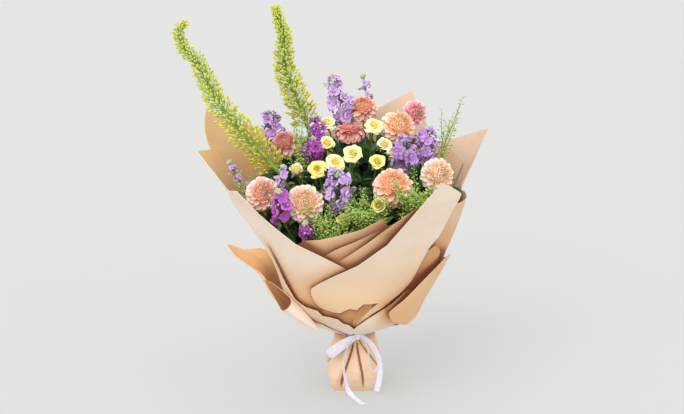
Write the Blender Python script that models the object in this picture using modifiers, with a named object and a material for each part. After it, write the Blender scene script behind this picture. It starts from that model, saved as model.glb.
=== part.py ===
"""A hand-tied mixed bouquet, standing on the gathered paper foot of its wrapper.

Dahlias, spray roses, stocks, two foxtail lilies and fine seed sprays sit on stems that a tie
holds together. Eleven sheets of kraft paper open like a funnel above the tie, and a paper
pouch with a satin ribbon round its neck stands below it. The front of the bouquet looks along -Y.
Lengths are in metres, angles in degrees. The origin is the middle of the foot's underside.
"""

import math

import bmesh
import bpy
import numpy as np
from mathutils import Matrix, Vector

GAP = 0.0003  # between two pieces that touch
CLEAR = 0.0009  # kept from pieces that only pass each other
MERGE = 0.00001  # points closer than this are one point
GOLDEN = 137.5  # the turn from one floret to the next
CREASE = 35  # edges sharper than this stay sharp when a piece is shaded

# The heads: petals round a head, rows of petals, depth of the hollows and of the eye over radius.
DAHLIA_FORM = (8, 9, 0.20, 0.22)
ROSE_FORM = (5, 6, 0.17, 0.30)
EYE_REACH = 0.45  # how far the eye spreads from the pole, as an angle in radians
POD_R = 0.0026
LEAF_THICK = 0.0009
LEAF_ROOM = 0.012

# The paper funnel: its section opens from the tie as a bell that becomes a cone.
TIE_Z = 0.104
BELL_Z = 0.124
NECK_R = 0.0293
BELL = 0.0846
BELL_REACH = 0.045
CONE_SLOPE = 0.46
FRONT_DEPTH = 0.80  # the funnel is flatter than wide, and flatter behind than in front
BACK_DEPTH = 0.62
FLATTEN_REACH = 0.16
FLATS = 24
STRIP_Z = 0.190  # under the front right sheet's free edge only a strip runs on to the tie
LEVELS = (TIE_Z, BELL_Z, 0.136, 0.158, STRIP_Z, 0.245, 0.335, 0.620)
LAYER = 0.0010  # from one sheet to the next at the tie, and what is added higher up
LAYER_GROWTH = 0.0014
GROWTH_REACH = 0.07
PAPER = 0.0007
FLARE_REACH = 0.38  # a high sheet has its flare this far above the tie
COLLAR_REACH = 0.16  # and a low one here
WAIST = 0.022  # how far the left side of the high sheets is drawn in above the collars
WAIST_ANGLE = 188
WAIST_SPREAD = 28

# The foot, the bundle of stems in it, the tie and the ribbon.
FOOT_WALL = 0.0008
FOOT_R = 0.047
FOOT_BELLY_R = 0.057
FOOT_BELLY_Z = 0.030
FOOT_BELLY_REACH = 0.045
FOOT_NECK_R = 0.0372
FOOT_NECK_Z = 0.097
FOOT_TOP = 0.116
PLEATS = 8
PLEAT_TOP = 0.100
PLEAT_DEPTH = 0.05
BUNDLE_R = 0.0258
BUNDLE_FOOT_R = 0.036
BUNDLE_TOP = 0.178
BUNDLE_TOP_R = 0.037
STRANDS = 10
STEM_R = {"dahlia": 0.0030, "rose": 0.0018, "stock": 0.0024, "foxtail": 0.0040, "seeds": 0.0016}
BRANCH_REACH = 0.075  # roses this close grow on one branching stem
LEAF_LONG = 0.055
LEAF_WIDE = 0.026
TIE_H = 0.010
TIE_THICK = 0.0022
RIBBON_W = 0.022
RIBBON_THICK = 0.0006
RIBBON_Z = 0.109
BAND_H = 0.012
SMALL_LOOP_W = 0.012
TAIL_W = 0.014
KNOT = Vector((0.004, -0.0440, 0.110))
KNOT_HALF = Vector((0.009, 0.0062, 0.008))

PEACH = (0.86, 0.47, 0.27)
PINK = (0.80, 0.33, 0.33)
CREAM = (0.90, 0.66, 0.45)
YELLOW = (0.90, 0.80, 0.33)
OLIVE = (0.62, 0.58, 0.14)
LILAC = (0.42, 0.20, 0.62)
MAGENTA = (0.38, 0.04, 0.48)
LIME = (0.56, 0.60, 0.08)
SEED_GREEN = (0.26, 0.42, 0.10)
LEAF_GREEN = (0.05, 0.13, 0.05)
KRAFT = (0.72, 0.48, 0.30)
STRING = (0.55, 0.42, 0.26)
SATIN = (0.82, 0.80, 0.88)

# name, place of the middle, the way it faces, radius, thickness over width, colour
DAHLIAS = (
    ("dahlia_1", (-0.180, -0.085, 0.428), (0.2, -0.85, 0.45), 0.035, 0.80, PINK),
    ("dahlia_2", (-0.097, -0.120, 0.417), (-0.1, -0.90, 0.35), 0.037, 0.80, CREAM),
    ("dahlia_3", (-0.138, 0.025, 0.500), (-0.3, -0.60, 0.70), 0.031, 0.85, PINK),
    ("dahlia_4", (-0.010, 0.030, 0.524), (0.0, 0.10, 0.95), 0.033, 0.62, PINK),
    ("dahlia_5", (0.017, 0.085, 0.560), (-0.1, -0.50, 0.85), 0.031, 0.85, PEACH),
    ("dahlia_6", (0.084, 0.035, 0.535), (0.5, -0.65, 0.50), 0.037, 0.85, PEACH),
    ("dahlia_7", (0.122, 0.090, 0.553), (0.3, -0.70, 0.50), 0.028, 0.75, PINK),
    ("dahlia_8", (0.071, -0.105, 0.445), (0.1, -0.60, 0.75), 0.041, 0.80, PEACH),
    ("dahlia_9", (0.158, -0.060, 0.459), (0.4, -0.80, 0.40), 0.035, 0.80, CREAM),
)
ROSES = (
    ("rose_1", (-0.056, 0.035, 0.545), (-0.2, -0.40, 0.90), 0.019, 1.00, YELLOW),
    ("rose_2", (-0.056, -0.005, 0.511), (0.1, -0.60, 0.75), 0.018, 0.95, YELLOW),
    ("rose_3", (0.037, 0.015, 0.543), (0.1, -0.60, 0.80), 0.019, 1.00, YELLOW),
    ("rose_4", (-0.005, -0.045, 0.498), (0.0, -0.75, 0.65), 0.020, 0.90, YELLOW),
    ("rose_5", (-0.040, -0.062, 0.484), (0.1, -0.80, 0.60), 0.020, 0.85, YELLOW),
    ("rose_6", (-0.074, -0.068, 0.473), (-0.1, -0.85, 0.50), 0.019, 0.80, YELLOW),
    ("rose_7", (-0.114, -0.045, 0.466), (-0.1, -0.75, 0.60), 0.017, 1.00, YELLOW),
    ("rose_8", (0.042, -0.058, 0.485), (0.1, -0.80, 0.60), 0.018, 0.90, YELLOW),
    ("rose_9", (0.057, -0.010, 0.510), (0.1, -0.70, 0.70), 0.016, 0.95, CREAM),
    ("rose_10", (0.073, -0.027, 0.497), (0.2, -0.70, 0.70), 0.015, 1.00, CREAM),
    ("rose_11", (0.044, -0.155, 0.424), (-0.1, -0.85, 0.50), 0.018, 0.85, OLIVE),
    ("rose_12", (-0.022, -0.150, 0.392), (-0.2, -0.85, 0.45), 0.016, 1.00, OLIVE),
    ("rose_13", (0.014, -0.132, 0.422), (0.0, -0.70, 0.70), 0.009, 1.30, YELLOW),
)
# name, foot of the spike, its tip, radius over the florets, florets, colour
STOCKS = (
    ("stock_1", (-0.036, -0.098, 0.420), (-0.034, -0.122, 0.468), 0.029, 9, LILAC),
    ("stock_2", (-0.138, -0.130, 0.396), (-0.142, -0.148, 0.442), 0.023, 8, MAGENTA),
    ("stock_3", (-0.084, -0.014, 0.484), (-0.083, -0.026, 0.518), 0.020, 7, MAGENTA),
    ("stock_4", (-0.074, 0.018, 0.522), (-0.080, 0.008, 0.556), 0.016, 6, MAGENTA),
    ("stock_5", (-0.020, 0.075, 0.535), (-0.042, 0.072, 0.622), 0.024, 10, LILAC),
    ("stock_6", (-0.158, 0.066, 0.490), (-0.172, 0.070, 0.550), 0.023, 8, LILAC),
    ("stock_7", (0.098, -0.034, 0.468), (0.096, -0.036, 0.520), 0.026, 9, LILAC),
    ("stock_8", (0.140, 0.012, 0.478), (0.142, 0.012, 0.528), 0.024, 7, LILAC),
    ("stock_9", (-0.216, -0.030, 0.420), (-0.244, -0.026, 0.472), 0.012, 5, LILAC),
    ("stock_10", (-0.146, -0.072, 0.442), (-0.140, -0.082, 0.476), 0.012, 4, LILAC),
    ("stock_11", (-0.088, -0.146, 0.360), (-0.094, -0.160, 0.384), 0.016, 6, MAGENTA),
    ("stock_12", (0.030, 0.122, 0.560), (0.018, 0.120, 0.618), 0.012, 5, LILAC),
)
# name, way of the spike's middle line, radius over the florets at its foot, florets
FOXTAILS = (
    (
        "foxtail_1",
        ((-0.150, -0.034, 0.458), (-0.198, -0.022, 0.511), (-0.236, -0.012, 0.552),
         (-0.271, -0.002, 0.594), (-0.292, 0.005, 0.637), (-0.307, 0.008, 0.668),
         (-0.330, 0.010, 0.692), (-0.341, 0.012, 0.718), (-0.340, 0.012, 0.734),
         (-0.331, 0.012, 0.743)),
        0.028, 50,
    ),
    (
        "foxtail_2",
        ((-0.094, 0.042, 0.532), (-0.101, 0.045, 0.554), (-0.112, 0.048, 0.582),
         (-0.124, 0.050, 0.606), (-0.135, 0.052, 0.633), (-0.140, 0.054, 0.658),
         (-0.141, 0.056, 0.710), (-0.149, 0.057, 0.739), (-0.156, 0.058, 0.767)),
        0.026, 46,
    ),
)
# name, then each spray's foot, tip, spread and pods
SPRAYS = (
    ("seeds_1", (((-0.050, -0.130, 0.345), (-0.048, -0.158, 0.398), 0.030, 23),)),
    ("seeds_2", (((0.018, -0.130, 0.365), (0.016, -0.160, 0.418), 0.028, 19),)),
    ("seeds_3", (((0.108, -0.125, 0.380), (0.120, -0.140, 0.440), 0.028, 16),)),
    ("seeds_4", (((-0.104, -0.030, 0.440), (-0.108, -0.006, 0.526), 0.022, 16),)),
    ("seeds_5", (((0.170, 0.030, 0.450), (0.190, 0.040, 0.548), 0.026, 14),)),
    ("seeds_6", (((-0.196, -0.052, 0.388), (-0.226, -0.050, 0.440), 0.020, 12),)),
)
# the tips of the large leaves that show between the heads
LEAF_TIPS = (
    (0.021, -0.010, 0.512), (0.049, -0.012, 0.492), (0.006, -0.066, 0.452), (0.014, -0.094, 0.432),
    (-0.106, -0.112, 0.380), (-0.134, -0.100, 0.372), (-0.176, -0.040, 0.455),
    (-0.098, -0.030, 0.486), (0.108, -0.070, 0.462), (0.132, -0.095, 0.412), (-0.064, -0.100, 0.415),
)
# name, layer from the inside, then corners along the sheet: angle, low edge, high edge, flare there
SHEETS = (
    ("paper_back", 0, (
        (34, TIE_Z, 0.450, 0.000), (57, TIE_Z, 0.494, 0.000), (69, TIE_Z, 0.584, 0.000),
        (80, TIE_Z, 0.548, 0.000), (100, TIE_Z, 0.500, 0.000), (122, TIE_Z, 0.480, 0.000))),
    ("paper_left", 1, (
        (132, TIE_Z, 0.450, -0.004), (147, TIE_Z, 0.470, -0.002), (165, TIE_Z, 0.490, 0.004),
        (180, TIE_Z, 0.506, 0.022), (192, TIE_Z, 0.450, 0.016), (206, TIE_Z, 0.400, 0.010),
        (226, TIE_Z, 0.340, 0.006))),
    ("paper_back_left", 2, (
        (108, TIE_Z, 0.470, 0.000), (124, TIE_Z, 0.507, 0.006), (144, TIE_Z, 0.546, 0.010),
        (154, TIE_Z, 0.568, 0.011), (164, TIE_Z, 0.528, 0.015), (171, TIE_Z, 0.480, 0.020))),
    ("paper_right", 1, (
        (-58, TIE_Z, 0.330, -0.020), (-32, TIE_Z, 0.400, -0.044), (2, TIE_Z, 0.400, -0.050),
        (10, TIE_Z, 0.398, -0.048), (18, TIE_Z, 0.408, -0.034), (27, TIE_Z, 0.462, 0.000),
        (30, TIE_Z, 0.528, 0.008), (52, TIE_Z, 0.488, 0.004), (78, TIE_Z, 0.450, 0.000))),
    ("paper_front_lip", 2, (
        (236, TIE_Z, 0.340, 0.004), (245, TIE_Z, 0.360, 0.004), (258, TIE_Z, 0.376, 0.004),
        (270, TIE_Z, 0.394, 0.004), (281, TIE_Z, 0.414, 0.004), (285, TIE_Z, 0.396, 0.004),
        (304, TIE_Z, 0.350, 0.004))),
    ("paper_front_left", 3, (
        (201, TIE_Z, 0.410, 0.014), (207, TIE_Z, 0.445, 0.014), (222, TIE_Z, 0.468, 0.016),
        (230, TIE_Z, 0.424, 0.020), (243, TIE_Z, 0.366, 0.028), (254, TIE_Z, 0.337, 0.034),
        (264, TIE_Z, 0.313, 0.034), (280, TIE_Z, 0.250, 0.020))),
    ("paper_right_inner", 3, (
        (294, TIE_Z, 0.236, 0.000), (303, TIE_Z, 0.290, 0.000), (314, TIE_Z, 0.340, 0.002),
        (323, TIE_Z, 0.316, 0.002), (327, TIE_Z, 0.270, 0.000), (345, TIE_Z, 0.220, 0.000))),
    ("paper_front_right", 4, (
        (241, 0.223, 0.253, 0.042), (247, 0.211, 0.269, 0.046), (258, 0.209, 0.295, 0.048),
        (262, STRIP_Z, 0.304, 0.040), (262, TIE_Z, 0.304, 0.040), (275, TIE_Z, 0.339, 0.036),
        (275, 0.233, 0.339, 0.036), (285, 0.214, 0.384, 0.034), (292, 0.226, 0.427, 0.020),
        (301, 0.246, 0.488, 0.010), (306, 0.266, 0.477, 0.008), (310, 0.338, 0.468, 0.006),
        (316, 0.440, 0.452, 0.004))),
    ("paper_low_front", 5, (
        (213, TIE_Z, 0.240, 0.004), (218, TIE_Z, 0.335, 0.006), (221, TIE_Z, 0.270, 0.006),
        (225, TIE_Z, 0.226, 0.006), (242, TIE_Z, 0.212, 0.012), (262, TIE_Z, 0.190, 0.020),
        (275, TIE_Z, 0.158, 0.020), (280, TIE_Z, 0.144, 0.022))),
    ("paper_low_right", 4, (
        (280, TIE_Z, 0.202, 0.014), (294, TIE_Z, 0.226, 0.016), (303, TIE_Z, 0.252, 0.016),
        (314, TIE_Z, 0.286, 0.014), (327, TIE_Z, 0.310, 0.006), (345, TIE_Z, 0.296, 0.002),
        (360, TIE_Z, 0.280, 0.002), (392, TIE_Z, 0.262, 0.002))),
    ("paper_low_left", 6, (
        (128, TIE_Z, 0.246, 0.010), (147, TIE_Z, 0.286, 0.028), (165, TIE_Z, 0.302, 0.030),
        (176, TIE_Z, 0.324, 0.046), (185, TIE_Z, 0.300, 0.030), (195, TIE_Z, 0.278, 0.020),
        (205, TIE_Z, 0.258, 0.013), (218, TIE_Z, 0.238, 0.012), (225, TIE_Z, 0.220, 0.020),
        (233, TIE_Z, 0.194, 0.024), (244, TIE_Z, 0.154, 0.024))),
)
COLLARS = ("paper_low_front", "paper_low_right", "paper_low_left")


# ---- Small tools -----------------------------------------------------------------------------


def polar(radius, angle, z=0.0):
    """The point at a radius and an angle in degrees round the Z axis."""
    turn = math.radians(angle)
    return Vector((radius * math.cos(turn), radius * math.sin(turn), z))


def smooth(x):
    """0 up to x = 0, 1 from x = 1, and an even S between."""
    x = min(max(x, 0.0), 1.0)
    return x * x * (3 - 2 * x)


def facing(direction):
    """The turn that brings +Z onto a direction."""
    return Vector(direction).to_track_quat("Z", "Y").to_matrix().to_4x4()


def material(name, colour, roughness):
    made = bpy.data.materials.get(name) or bpy.data.materials.new(name)
    made.use_nodes = True
    shader = made.node_tree.nodes["Principled BSDF"]
    shader.inputs["Base Color"].default_value = (*colour, 1.0)
    shader.inputs["Roughness"].default_value = roughness
    shader.inputs["Metallic"].default_value = 0.0
    return made


def add_object(name, mesh, collection):
    thing = bpy.data.objects.new(name, mesh)
    collection.objects.link(thing)
    return thing


def finish(thing, colour, roughness=0.7):
    """Gives a piece its one material and smooth sides."""
    thing.data.materials.clear()
    thing.data.materials.append(material(thing.name, colour, roughness))
    thing.data.shade_smooth()
    thing.data.set_sharp_from_angle(angle=math.radians(CREASE))
    return thing


def mesh_from(shape, name):
    """Turns a bmesh into a mesh with its faces pointing out."""
    bmesh.ops.recalc_face_normals(shape, faces=shape.faces)
    mesh = bpy.data.meshes.new(name)
    shape.to_mesh(mesh)
    shape.free()
    return mesh


def evaluated(thing):
    """The mesh of an object with its modifiers or its curve's bevel worked out."""
    bpy.context.view_layer.update()
    return bpy.data.meshes.new_from_object(thing.evaluated_get(bpy.context.evaluated_depsgraph_get()))


def remove(thing):
    bpy.data.objects.remove(thing, do_unlink=True)


def join(name, pieces, colour, roughness=0.7):
    """Makes one body, by a union, of pieces that run into each other."""
    body = pieces[0]
    body.name = name
    rest = bpy.data.collections.new(name + "_parts")
    for piece in pieces[1:]:
        rest.objects.link(piece)
    union = body.modifiers.new("join", "BOOLEAN")
    union.operation = "UNION"
    union.operand_type = "COLLECTION"
    union.collection = rest
    union.solver = "MANIFOLD"
    mesh = evaluated(body)
    body.modifiers.clear()
    for piece in pieces[1:]:
        remove(piece)
    bpy.data.collections.remove(rest)
    body.data = mesh
    mesh.name = name
    return finish(body, colour, roughness)


class Room:
    """The balls of space that the pieces made so far take up."""

    def __init__(self):
        self.points = np.empty((0, 3))
        self.radii = np.empty(0)

    def take(self, point, radius):
        self.points = np.vstack([self.points, np.array(point)[None]])
        self.radii = np.append(self.radii, radius)

    def nearest(self, point):
        """The centre of the ball nearest to a point, and how far its surface is."""
        away = np.linalg.norm(self.points - np.array(point), axis=1) - self.radii
        best = int(np.argmin(away))
        return Vector(self.points[best]), float(away[best])

    def is_clear(self, points, radius):
        """Whether balls of a radius at some points would be in the open, inside the wrapper."""
        open_space = all(self.nearest(point)[1] > radius + CLEAR for point in points)
        return open_space and all(funnel_room(point) > radius + 2 * CLEAR for point in points)

    def pushed(self, point, radius):
        """The point, moved away from the balls that something of a radius there would touch."""
        point = Vector(point)
        for _ in range(12):
            centre, away = self.nearest(point)
            if away > radius + CLEAR:
                break
            point += (point - centre).normalized() * (radius + 1.2 * CLEAR - away)
        return point


# ---- Flower heads ----------------------------------------------------------------------------


def petal_ball(name, place, direction, radius, depth, petals, rows, relief, dimple):
    """A full head: a ball with rows of petal tips, each tip standing over a gap of the row below.

    A point of row i and column j lies at radius * (1 - relief * ((i + j) mod 2)) from the middle,
    and less by the dimple round the front pole, with the ball flattened to depth. Each face is
    split from hollow to hollow, so that every tip is a peak of its own.
    """
    shape = bmesh.new()
    bmesh.ops.create_uvsphere(shape, u_segments=2 * petals, v_segments=rows, radius=1.0)
    hollows = set()
    for vert in shape.verts:
        tilt = math.acos(max(-1.0, min(1.0, vert.co.z)))
        row = round(tilt / math.pi * rows)
        column = round(math.atan2(vert.co.x, vert.co.y) / math.pi * petals)
        if (row + column) % 2 and 0 < row < rows:
            hollows.add(vert)
        eye = dimple * math.exp(-((tilt / EYE_REACH) ** 2))
        vert.co *= radius * (1 - relief * (vert in hollows) - eye)
        vert.co.z *= depth
    for face in shape.faces[:]:
        low = [vert for vert in face.verts if vert in hollows]
        if len(face.verts) == 4 and len(low) == 2:
            bmesh.utils.face_split(face, *low)
    mesh = mesh_from(shape, name)
    mesh.transform(Matrix.Translation(Vector(place)) @ facing(direction))
    return mesh


def part_heads(meshes, table):
    """Flattens heads against each other where they press: half the gap each side of the plane
    between two of them."""
    for first, (_, place, _, radius, *_) in zip(meshes, table):
        middle = Vector(place)
        for _, other_place, _, other_radius, *_ in table:
            across = Vector(other_place) - middle
            distance = across.length
            if distance == 0 or distance > radius + other_radius + GAP:
                continue
            normal = across / distance
            share = (distance * distance + radius**2 - other_radius**2) / (2 * distance)
            limit = share - GAP / 2
            for vert in first.vertices:
                reach = (vert.co - middle).dot(normal)
                if reach > limit:
                    vert.co = middle + (vert.co - middle) * (limit / reach)


def back_pole(mesh, place, direction):
    """The point where a head sits on its stem."""
    middle, way = Vector(place), Vector(direction).normalized()
    return min((v.co for v in mesh.vertices), key=lambda p: (p - middle).normalized().dot(way)).copy()


def make_balls(collection, room):
    """Dahlias and roses, and the seat of each on its stem."""
    table = DAHLIAS + ROSES
    meshes = [petal_ball(*row[:5], *DAHLIA_FORM) for row in DAHLIAS]
    meshes += [petal_ball(*row[:5], *ROSE_FORM) for row in ROSES]
    part_heads(meshes, table)
    seats = []
    for mesh, (name, place, way, radius, _, colour) in zip(meshes, table):
        finish(add_object(name, mesh, collection), colour)
        room.take(place, radius)
        seats.append((back_pole(mesh, place, way), Vector(way).normalized(), name))
    return seats


def floret(root, direction, long, radius, collection):
    """A four-petalled floret: a trumpet from its root to a flat face with four lobes."""
    shape = bmesh.new()
    bmesh.ops.create_cone(
        shape, segments=8, radius1=0, radius2=radius, depth=long, cap_ends=True
    )
    for vert in shape.verts:
        vert.co.xy *= 1 + 0.22 * math.cos(4 * math.atan2(vert.co.y, vert.co.x))
        vert.co.z += long / 2
    face = [face for face in shape.faces if len(face.verts) == 8]
    throat = bmesh.ops.poke(shape, faces=face)["verts"][0]
    throat.co.z -= 0.35 * radius
    bmesh.ops.remove_doubles(shape, verts=shape.verts, dist=MERGE)
    mesh = mesh_from(shape, "floret")
    mesh.transform(Matrix.Translation(Vector(root)) @ facing(direction))
    return add_object("floret", mesh, collection)


def spindle(root, tip, radius, collection, sides=3, widest=0.62):
    """A bud or pod: two cones, base to base, from its root to its tip."""
    root, tip = Vector(root), Vector(tip)
    long = (tip - root).length
    shape = bmesh.new()
    bmesh.ops.create_cone(
        shape, segments=sides, radius1=radius, radius2=0, depth=long * (1 - widest), cap_ends=True
    )
    bmesh.ops.translate(shape, verts=shape.verts, vec=(0, 0, long * (1 + widest) / 2))
    cap = [face for face in shape.faces if len(face.verts) == sides and face.normal.z < -0.9]
    bmesh.ops.poke(shape, faces=cap)
    lowest = min(shape.verts, key=lambda v: v.co.xy.length + v.co.z)
    lowest.co = (0, 0, 0)
    mesh = mesh_from(shape, "spindle")
    mesh.transform(Matrix.Translation(root) @ facing(tip - root))
    return add_object("spindle", mesh, collection)


def tube(points, radii, collection, resolution=0):
    """A stem: a curve with a bevel and filled ends, made a mesh with its caps welded on."""
    curve = bpy.data.curves.new("tube", "CURVE")
    curve.dimensions = "3D"
    curve.bevel_depth = 1.0
    curve.bevel_resolution = resolution
    curve.use_fill_caps = True
    spline = curve.splines.new("POLY")
    spline.points.add(len(points) - 1)
    for spot, point, radius in zip(spline.points, points, radii):
        spot.co = (*point, 1.0)
        spot.radius = radius
    drawn = add_object("tube", curve, collection)
    mesh = evaluated(drawn)
    remove(drawn)
    shape = bmesh.new()
    shape.from_mesh(mesh)
    bmesh.ops.remove_doubles(shape, verts=shape.verts, dist=0.00002)
    bmesh.ops.triangulate(shape, faces=shape.faces)
    return add_object("tube", mesh_from(shape, "tube"), collection)


def along(points, share):
    """The point at a share of a way's length, and the way's direction there."""
    points = [Vector(p) for p in points]
    steps = [(b - a).length for a, b in zip(points, points[1:])]
    left = share * sum(steps)
    for a, b, step in zip(points, points[1:], steps):
        if left <= step or b is points[-1]:
            return a.lerp(b, min(left / step, 1.0)), (b - a).normalized()
        left -= step


def make_stock(row, collection, room):
    """A stock: a spike with its florets set round it in a spiral and a bud at its tip.

    At a share t of the spike the florets' faces reach spread * sqrt(1 - (1.5 * t - 0.6)^2 / 1.3).
    """
    name, foot, tip, spread, count, colour = row
    size = 0.42 * spread + 0.002
    thick = min(0.0035, 0.16 * spread + 0.0006)
    pieces = [tube((foot, tip), (thick, 0.6 * thick), collection)]
    faces = []
    for i in range(count):
        share = (i + 0.5) / count
        middle, way = along((foot, tip), share)
        out = (facing(way) @ polar(1.0, GOLDEN * i + 20)).normalized()
        lean = (out + (1.4 * share - 0.2) * way).normalized()
        reach = spread * math.sqrt(1 - (1.5 * share - 0.6) ** 2 / 1.3)
        for part in (1.0, 0.85, 0.7, 0.55):
            long = part * reach
            if room.is_clear([middle + lean * (long - 0.3 * size)], size):
                pieces.append(floret(middle, lean, long, size / 1.15, collection))
                faces.append((middle + lean * (long - 0.4 * size), 0.95 * size))
                break
    end, way = along((foot, tip), 1.0)
    pieces.append(spindle(end - way * 0.006, end + way * 0.010, 0.0045, collection, 4))
    join(name, pieces, colour)
    for place, radius in faces:
        room.take(place, radius)
    for step in range(7):
        room.take(Vector(foot).lerp(Vector(tip), step / 6), 0.004)
    way = (Vector(tip) - Vector(foot)).normalized()
    return Vector(foot), way, name


def make_foxtail(row, collection, room):
    """A foxtail lily: buds in a spiral round a tapering axis, long below and short at the tip."""
    name, way_points, spread, count = row
    last = len(way_points) - 1
    radii = [0.0042 - 0.0030 * i / last for i in range(last + 1)]
    pieces = [tube(way_points, radii, collection)]
    for i in range(count):
        share = 0.02 + 0.97 * (i / count) ** 0.92
        middle, way = along(way_points, share)
        out = (facing(way) @ polar(1.0, GOLDEN * i)).normalized()
        long = 1.25 * spread * (1 - 0.72 * share**1.3)
        rise = 0.45 + 0.40 * share
        lean = out * math.cos(rise) + way * math.sin(rise)
        thick = 0.0042 - 0.0020 * share
        tip = middle + lean * long
        if room.is_clear([middle.lerp(tip, 0.5), middle.lerp(tip, 0.8), tip], thick):
            pieces.append(spindle(middle, tip, thick, collection))
            for part in (0.4, 0.7, 1.0):
                room.take(middle.lerp(tip, part), thick)
    join(name, pieces, LIME)
    for step in range(40):
        room.take(along(way_points, step / 39)[0], 0.005)
    foot, way = along(way_points, 0.0)
    return foot, way, name


def make_spray(row, collection, room):
    """A seed spray: a thin stem with pods on short stalks all round it."""
    name, branches = row
    pieces, seats, pods = [], [], []
    for foot, tip, spread, count in branches:
        pieces.append(tube((foot, tip), (0.0016, 0.0008), collection))
        for i in range(count):
            middle, way = along((foot, tip), 0.10 + 0.88 * i / count)
            out = (facing(way) @ polar(1.0, GOLDEN * i)).normalized()
            reach = spread * (1 - 0.45 * i / count)
            end = middle + (out + 0.55 * way).normalized() * reach
            if room.is_clear([middle.lerp(end, s) for s in (0.3, 0.5, 0.7, 0.85, 1.0)], POD_R):
                pieces.append(spindle(middle, end, POD_R, collection, 3, 0.7))
                pods += [middle.lerp(end, s) for s in (0.4, 0.6, 0.8, 1.0)]
        seats.append((Vector(foot), (Vector(tip) - Vector(foot)).normalized(), name))
        for step in range(9):
            room.take(Vector(foot).lerp(Vector(tip), step / 8), 0.002)
    join(name, pieces, SEED_GREEN)
    for pod in pods:
        room.take(pod, POD_R)
    return seats


# ---- Stems and leaves ------------------------------------------------------------------------


def stem_way(seat, direction, radius, room, start=None):
    """The way of a stem to the head it carries, from the bundle or from a stem that it branches
    off, bent clear of the other heads."""
    end = seat - direction * GAP
    before = end - direction * 0.020
    if start is None:
        flat = Vector((before.x, before.y, 0))
        start = flat.normalized() * min(BUNDLE_TOP_R - 0.008, 0.17 * flat.length)
        start.z = BUNDLE_TOP - 0.012
        last = 3
    else:
        last = 2
    points = [start.lerp(before, (i / last) ** 0.8) for i in range(last + 1)] + [end]
    for i in range(1, last):
        points[i] -= Vector((points[i].x, points[i].y, 0)) * (0.4 * (i / last) * (1 - i / last))
    for _ in range(40):
        for i in range(1, last):
            for other in (points[i - 1], points[i + 1]):
                for part in (0.3, 0.6):
                    inner = points[i].lerp(other, part)
                    points[i] += room.pushed(inner, 1.4 * radius) - inner
            points[i] = room.pushed(points[i], 1.4 * radius)
    return points


def bundle(collection):
    """The stems below the tie, close together: a round bundle with a flute between strands."""
    shape = bmesh.new()
    low, high = FOOT_WALL + GAP, BUNDLE_TOP
    bmesh.ops.create_cone(
        shape, segments=2 * STRANDS, radius1=1, radius2=1, depth=high - low, cap_ends=True
    )
    bmesh.ops.translate(shape, verts=shape.verts, vec=(0, 0, (low + high) / 2))
    for height in (0.05, TIE_Z - 0.004, TIE_Z + TIE_H + 0.006):
        cut = shape.verts[:] + shape.edges[:] + shape.faces[:]
        bmesh.ops.bisect_plane(shape, geom=cut, plane_co=(0, 0, height), plane_no=(0, 0, 1))
    for vert in shape.verts:
        below = smooth((TIE_Z - vert.co.z) / TIE_Z)
        above = smooth((vert.co.z - TIE_Z - 0.02) / (BUNDLE_TOP - TIE_Z - 0.02))
        radius = BUNDLE_R + (BUNDLE_FOOT_R - BUNDLE_R) * below + (BUNDLE_TOP_R - BUNDLE_R) * above
        column = round(math.atan2(vert.co.x, vert.co.y) / math.pi * STRANDS)
        vert.co.xy *= radius * (1 - 0.10 * (column % 2))
    return add_object("bundle", mesh_from(shape, "bundle"), collection)


def leaf(root, tip, width, side, collection):
    """A saw-edged leaf: a blade along root to tip, widest before its middle, arched and folded.

    Across it, from -1 to 1, and along it, from 0 to 1, a point lies at
    width / 2 * across * sin(pi * along ^ 0.8) * (1 - 0.16 * (step mod 2)) to the side,
    and rises by 0.18 * width * |across| towards its edges.
    """
    steps = 4
    forward = (tip - root).normalized()
    across_way = forward.cross(Vector(side)).normalized()
    up = across_way.cross(forward)
    shape = bmesh.new()
    bmesh.ops.create_grid(shape, x_segments=2, y_segments=steps, size=1.0)
    for vert in shape.verts:
        share = (vert.co.y + 1) / 2
        step = round(share * steps)
        half = 0.5 * width * (math.sin(math.pi * share**0.8) * (1 - 0.16 * (step % 2)) + 0.06)
        arch = 0.12 * (tip - root).length * math.sin(math.pi * share)
        place = root.lerp(tip, share) + across_way * half * vert.co.x
        vert.co = place + up * (arch + 0.18 * width * abs(vert.co.x) * math.sin(math.pi * share))
    mesh = mesh_from(shape, "leaf")
    blade = add_object("leaf", mesh, collection)
    thick = blade.modifiers.new("thickness", "SOLIDIFY")
    thick.thickness = LEAF_THICK
    thick.offset = 0
    blade.data = evaluated(blade)
    blade.modifiers.clear()
    return blade


def make_greenery(seats, collection, room):
    """All stems, held as one bundle, with the leaves that grow on them."""
    pieces = [bundle(collection)]
    ways, rose_ways = [], []
    for seat, direction, name in seats:
        kind = name.split("_")[0]
        radius = STEM_R[kind]
        near = [way for way in rose_ways if (way[-1] - seat).length < BRANCH_REACH]
        branch = along(near[0], 0.62)[0] if kind == "rose" and near else None
        points = stem_way(seat, direction, radius, room, branch)
        if kind == "rose" and not near:
            rose_ways.append(points)
        pieces.append(tube(points, [radius] * len(points), collection))
        ways.append(points)
    spots = [along(points, i / 20)[0] for points in ways for i in range(2, 20)]
    for tip in LEAF_TIPS:
        tip = Vector(tip)
        below = [spot for spot in spots if spot.z < tip.z - 0.5 * LEAF_LONG]
        below.sort(key=lambda spot: abs((tip - spot).length - LEAF_LONG))
        for root in below[:40]:
            if room.is_clear([root.lerp(tip, share) for share in (0.2, 0.4, 0.6, 0.8)], LEAF_ROOM):
                side = Vector((root.x, root.y - 0.1, 0))
                pieces.append(leaf(root, tip, LEAF_WIDE, side, collection))
                break
    return join("stems_and_leaves", pieces, LEAF_GREEN)


# ---- Wrapper, foot, tie and ribbon -----------------------------------------------------------


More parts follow.
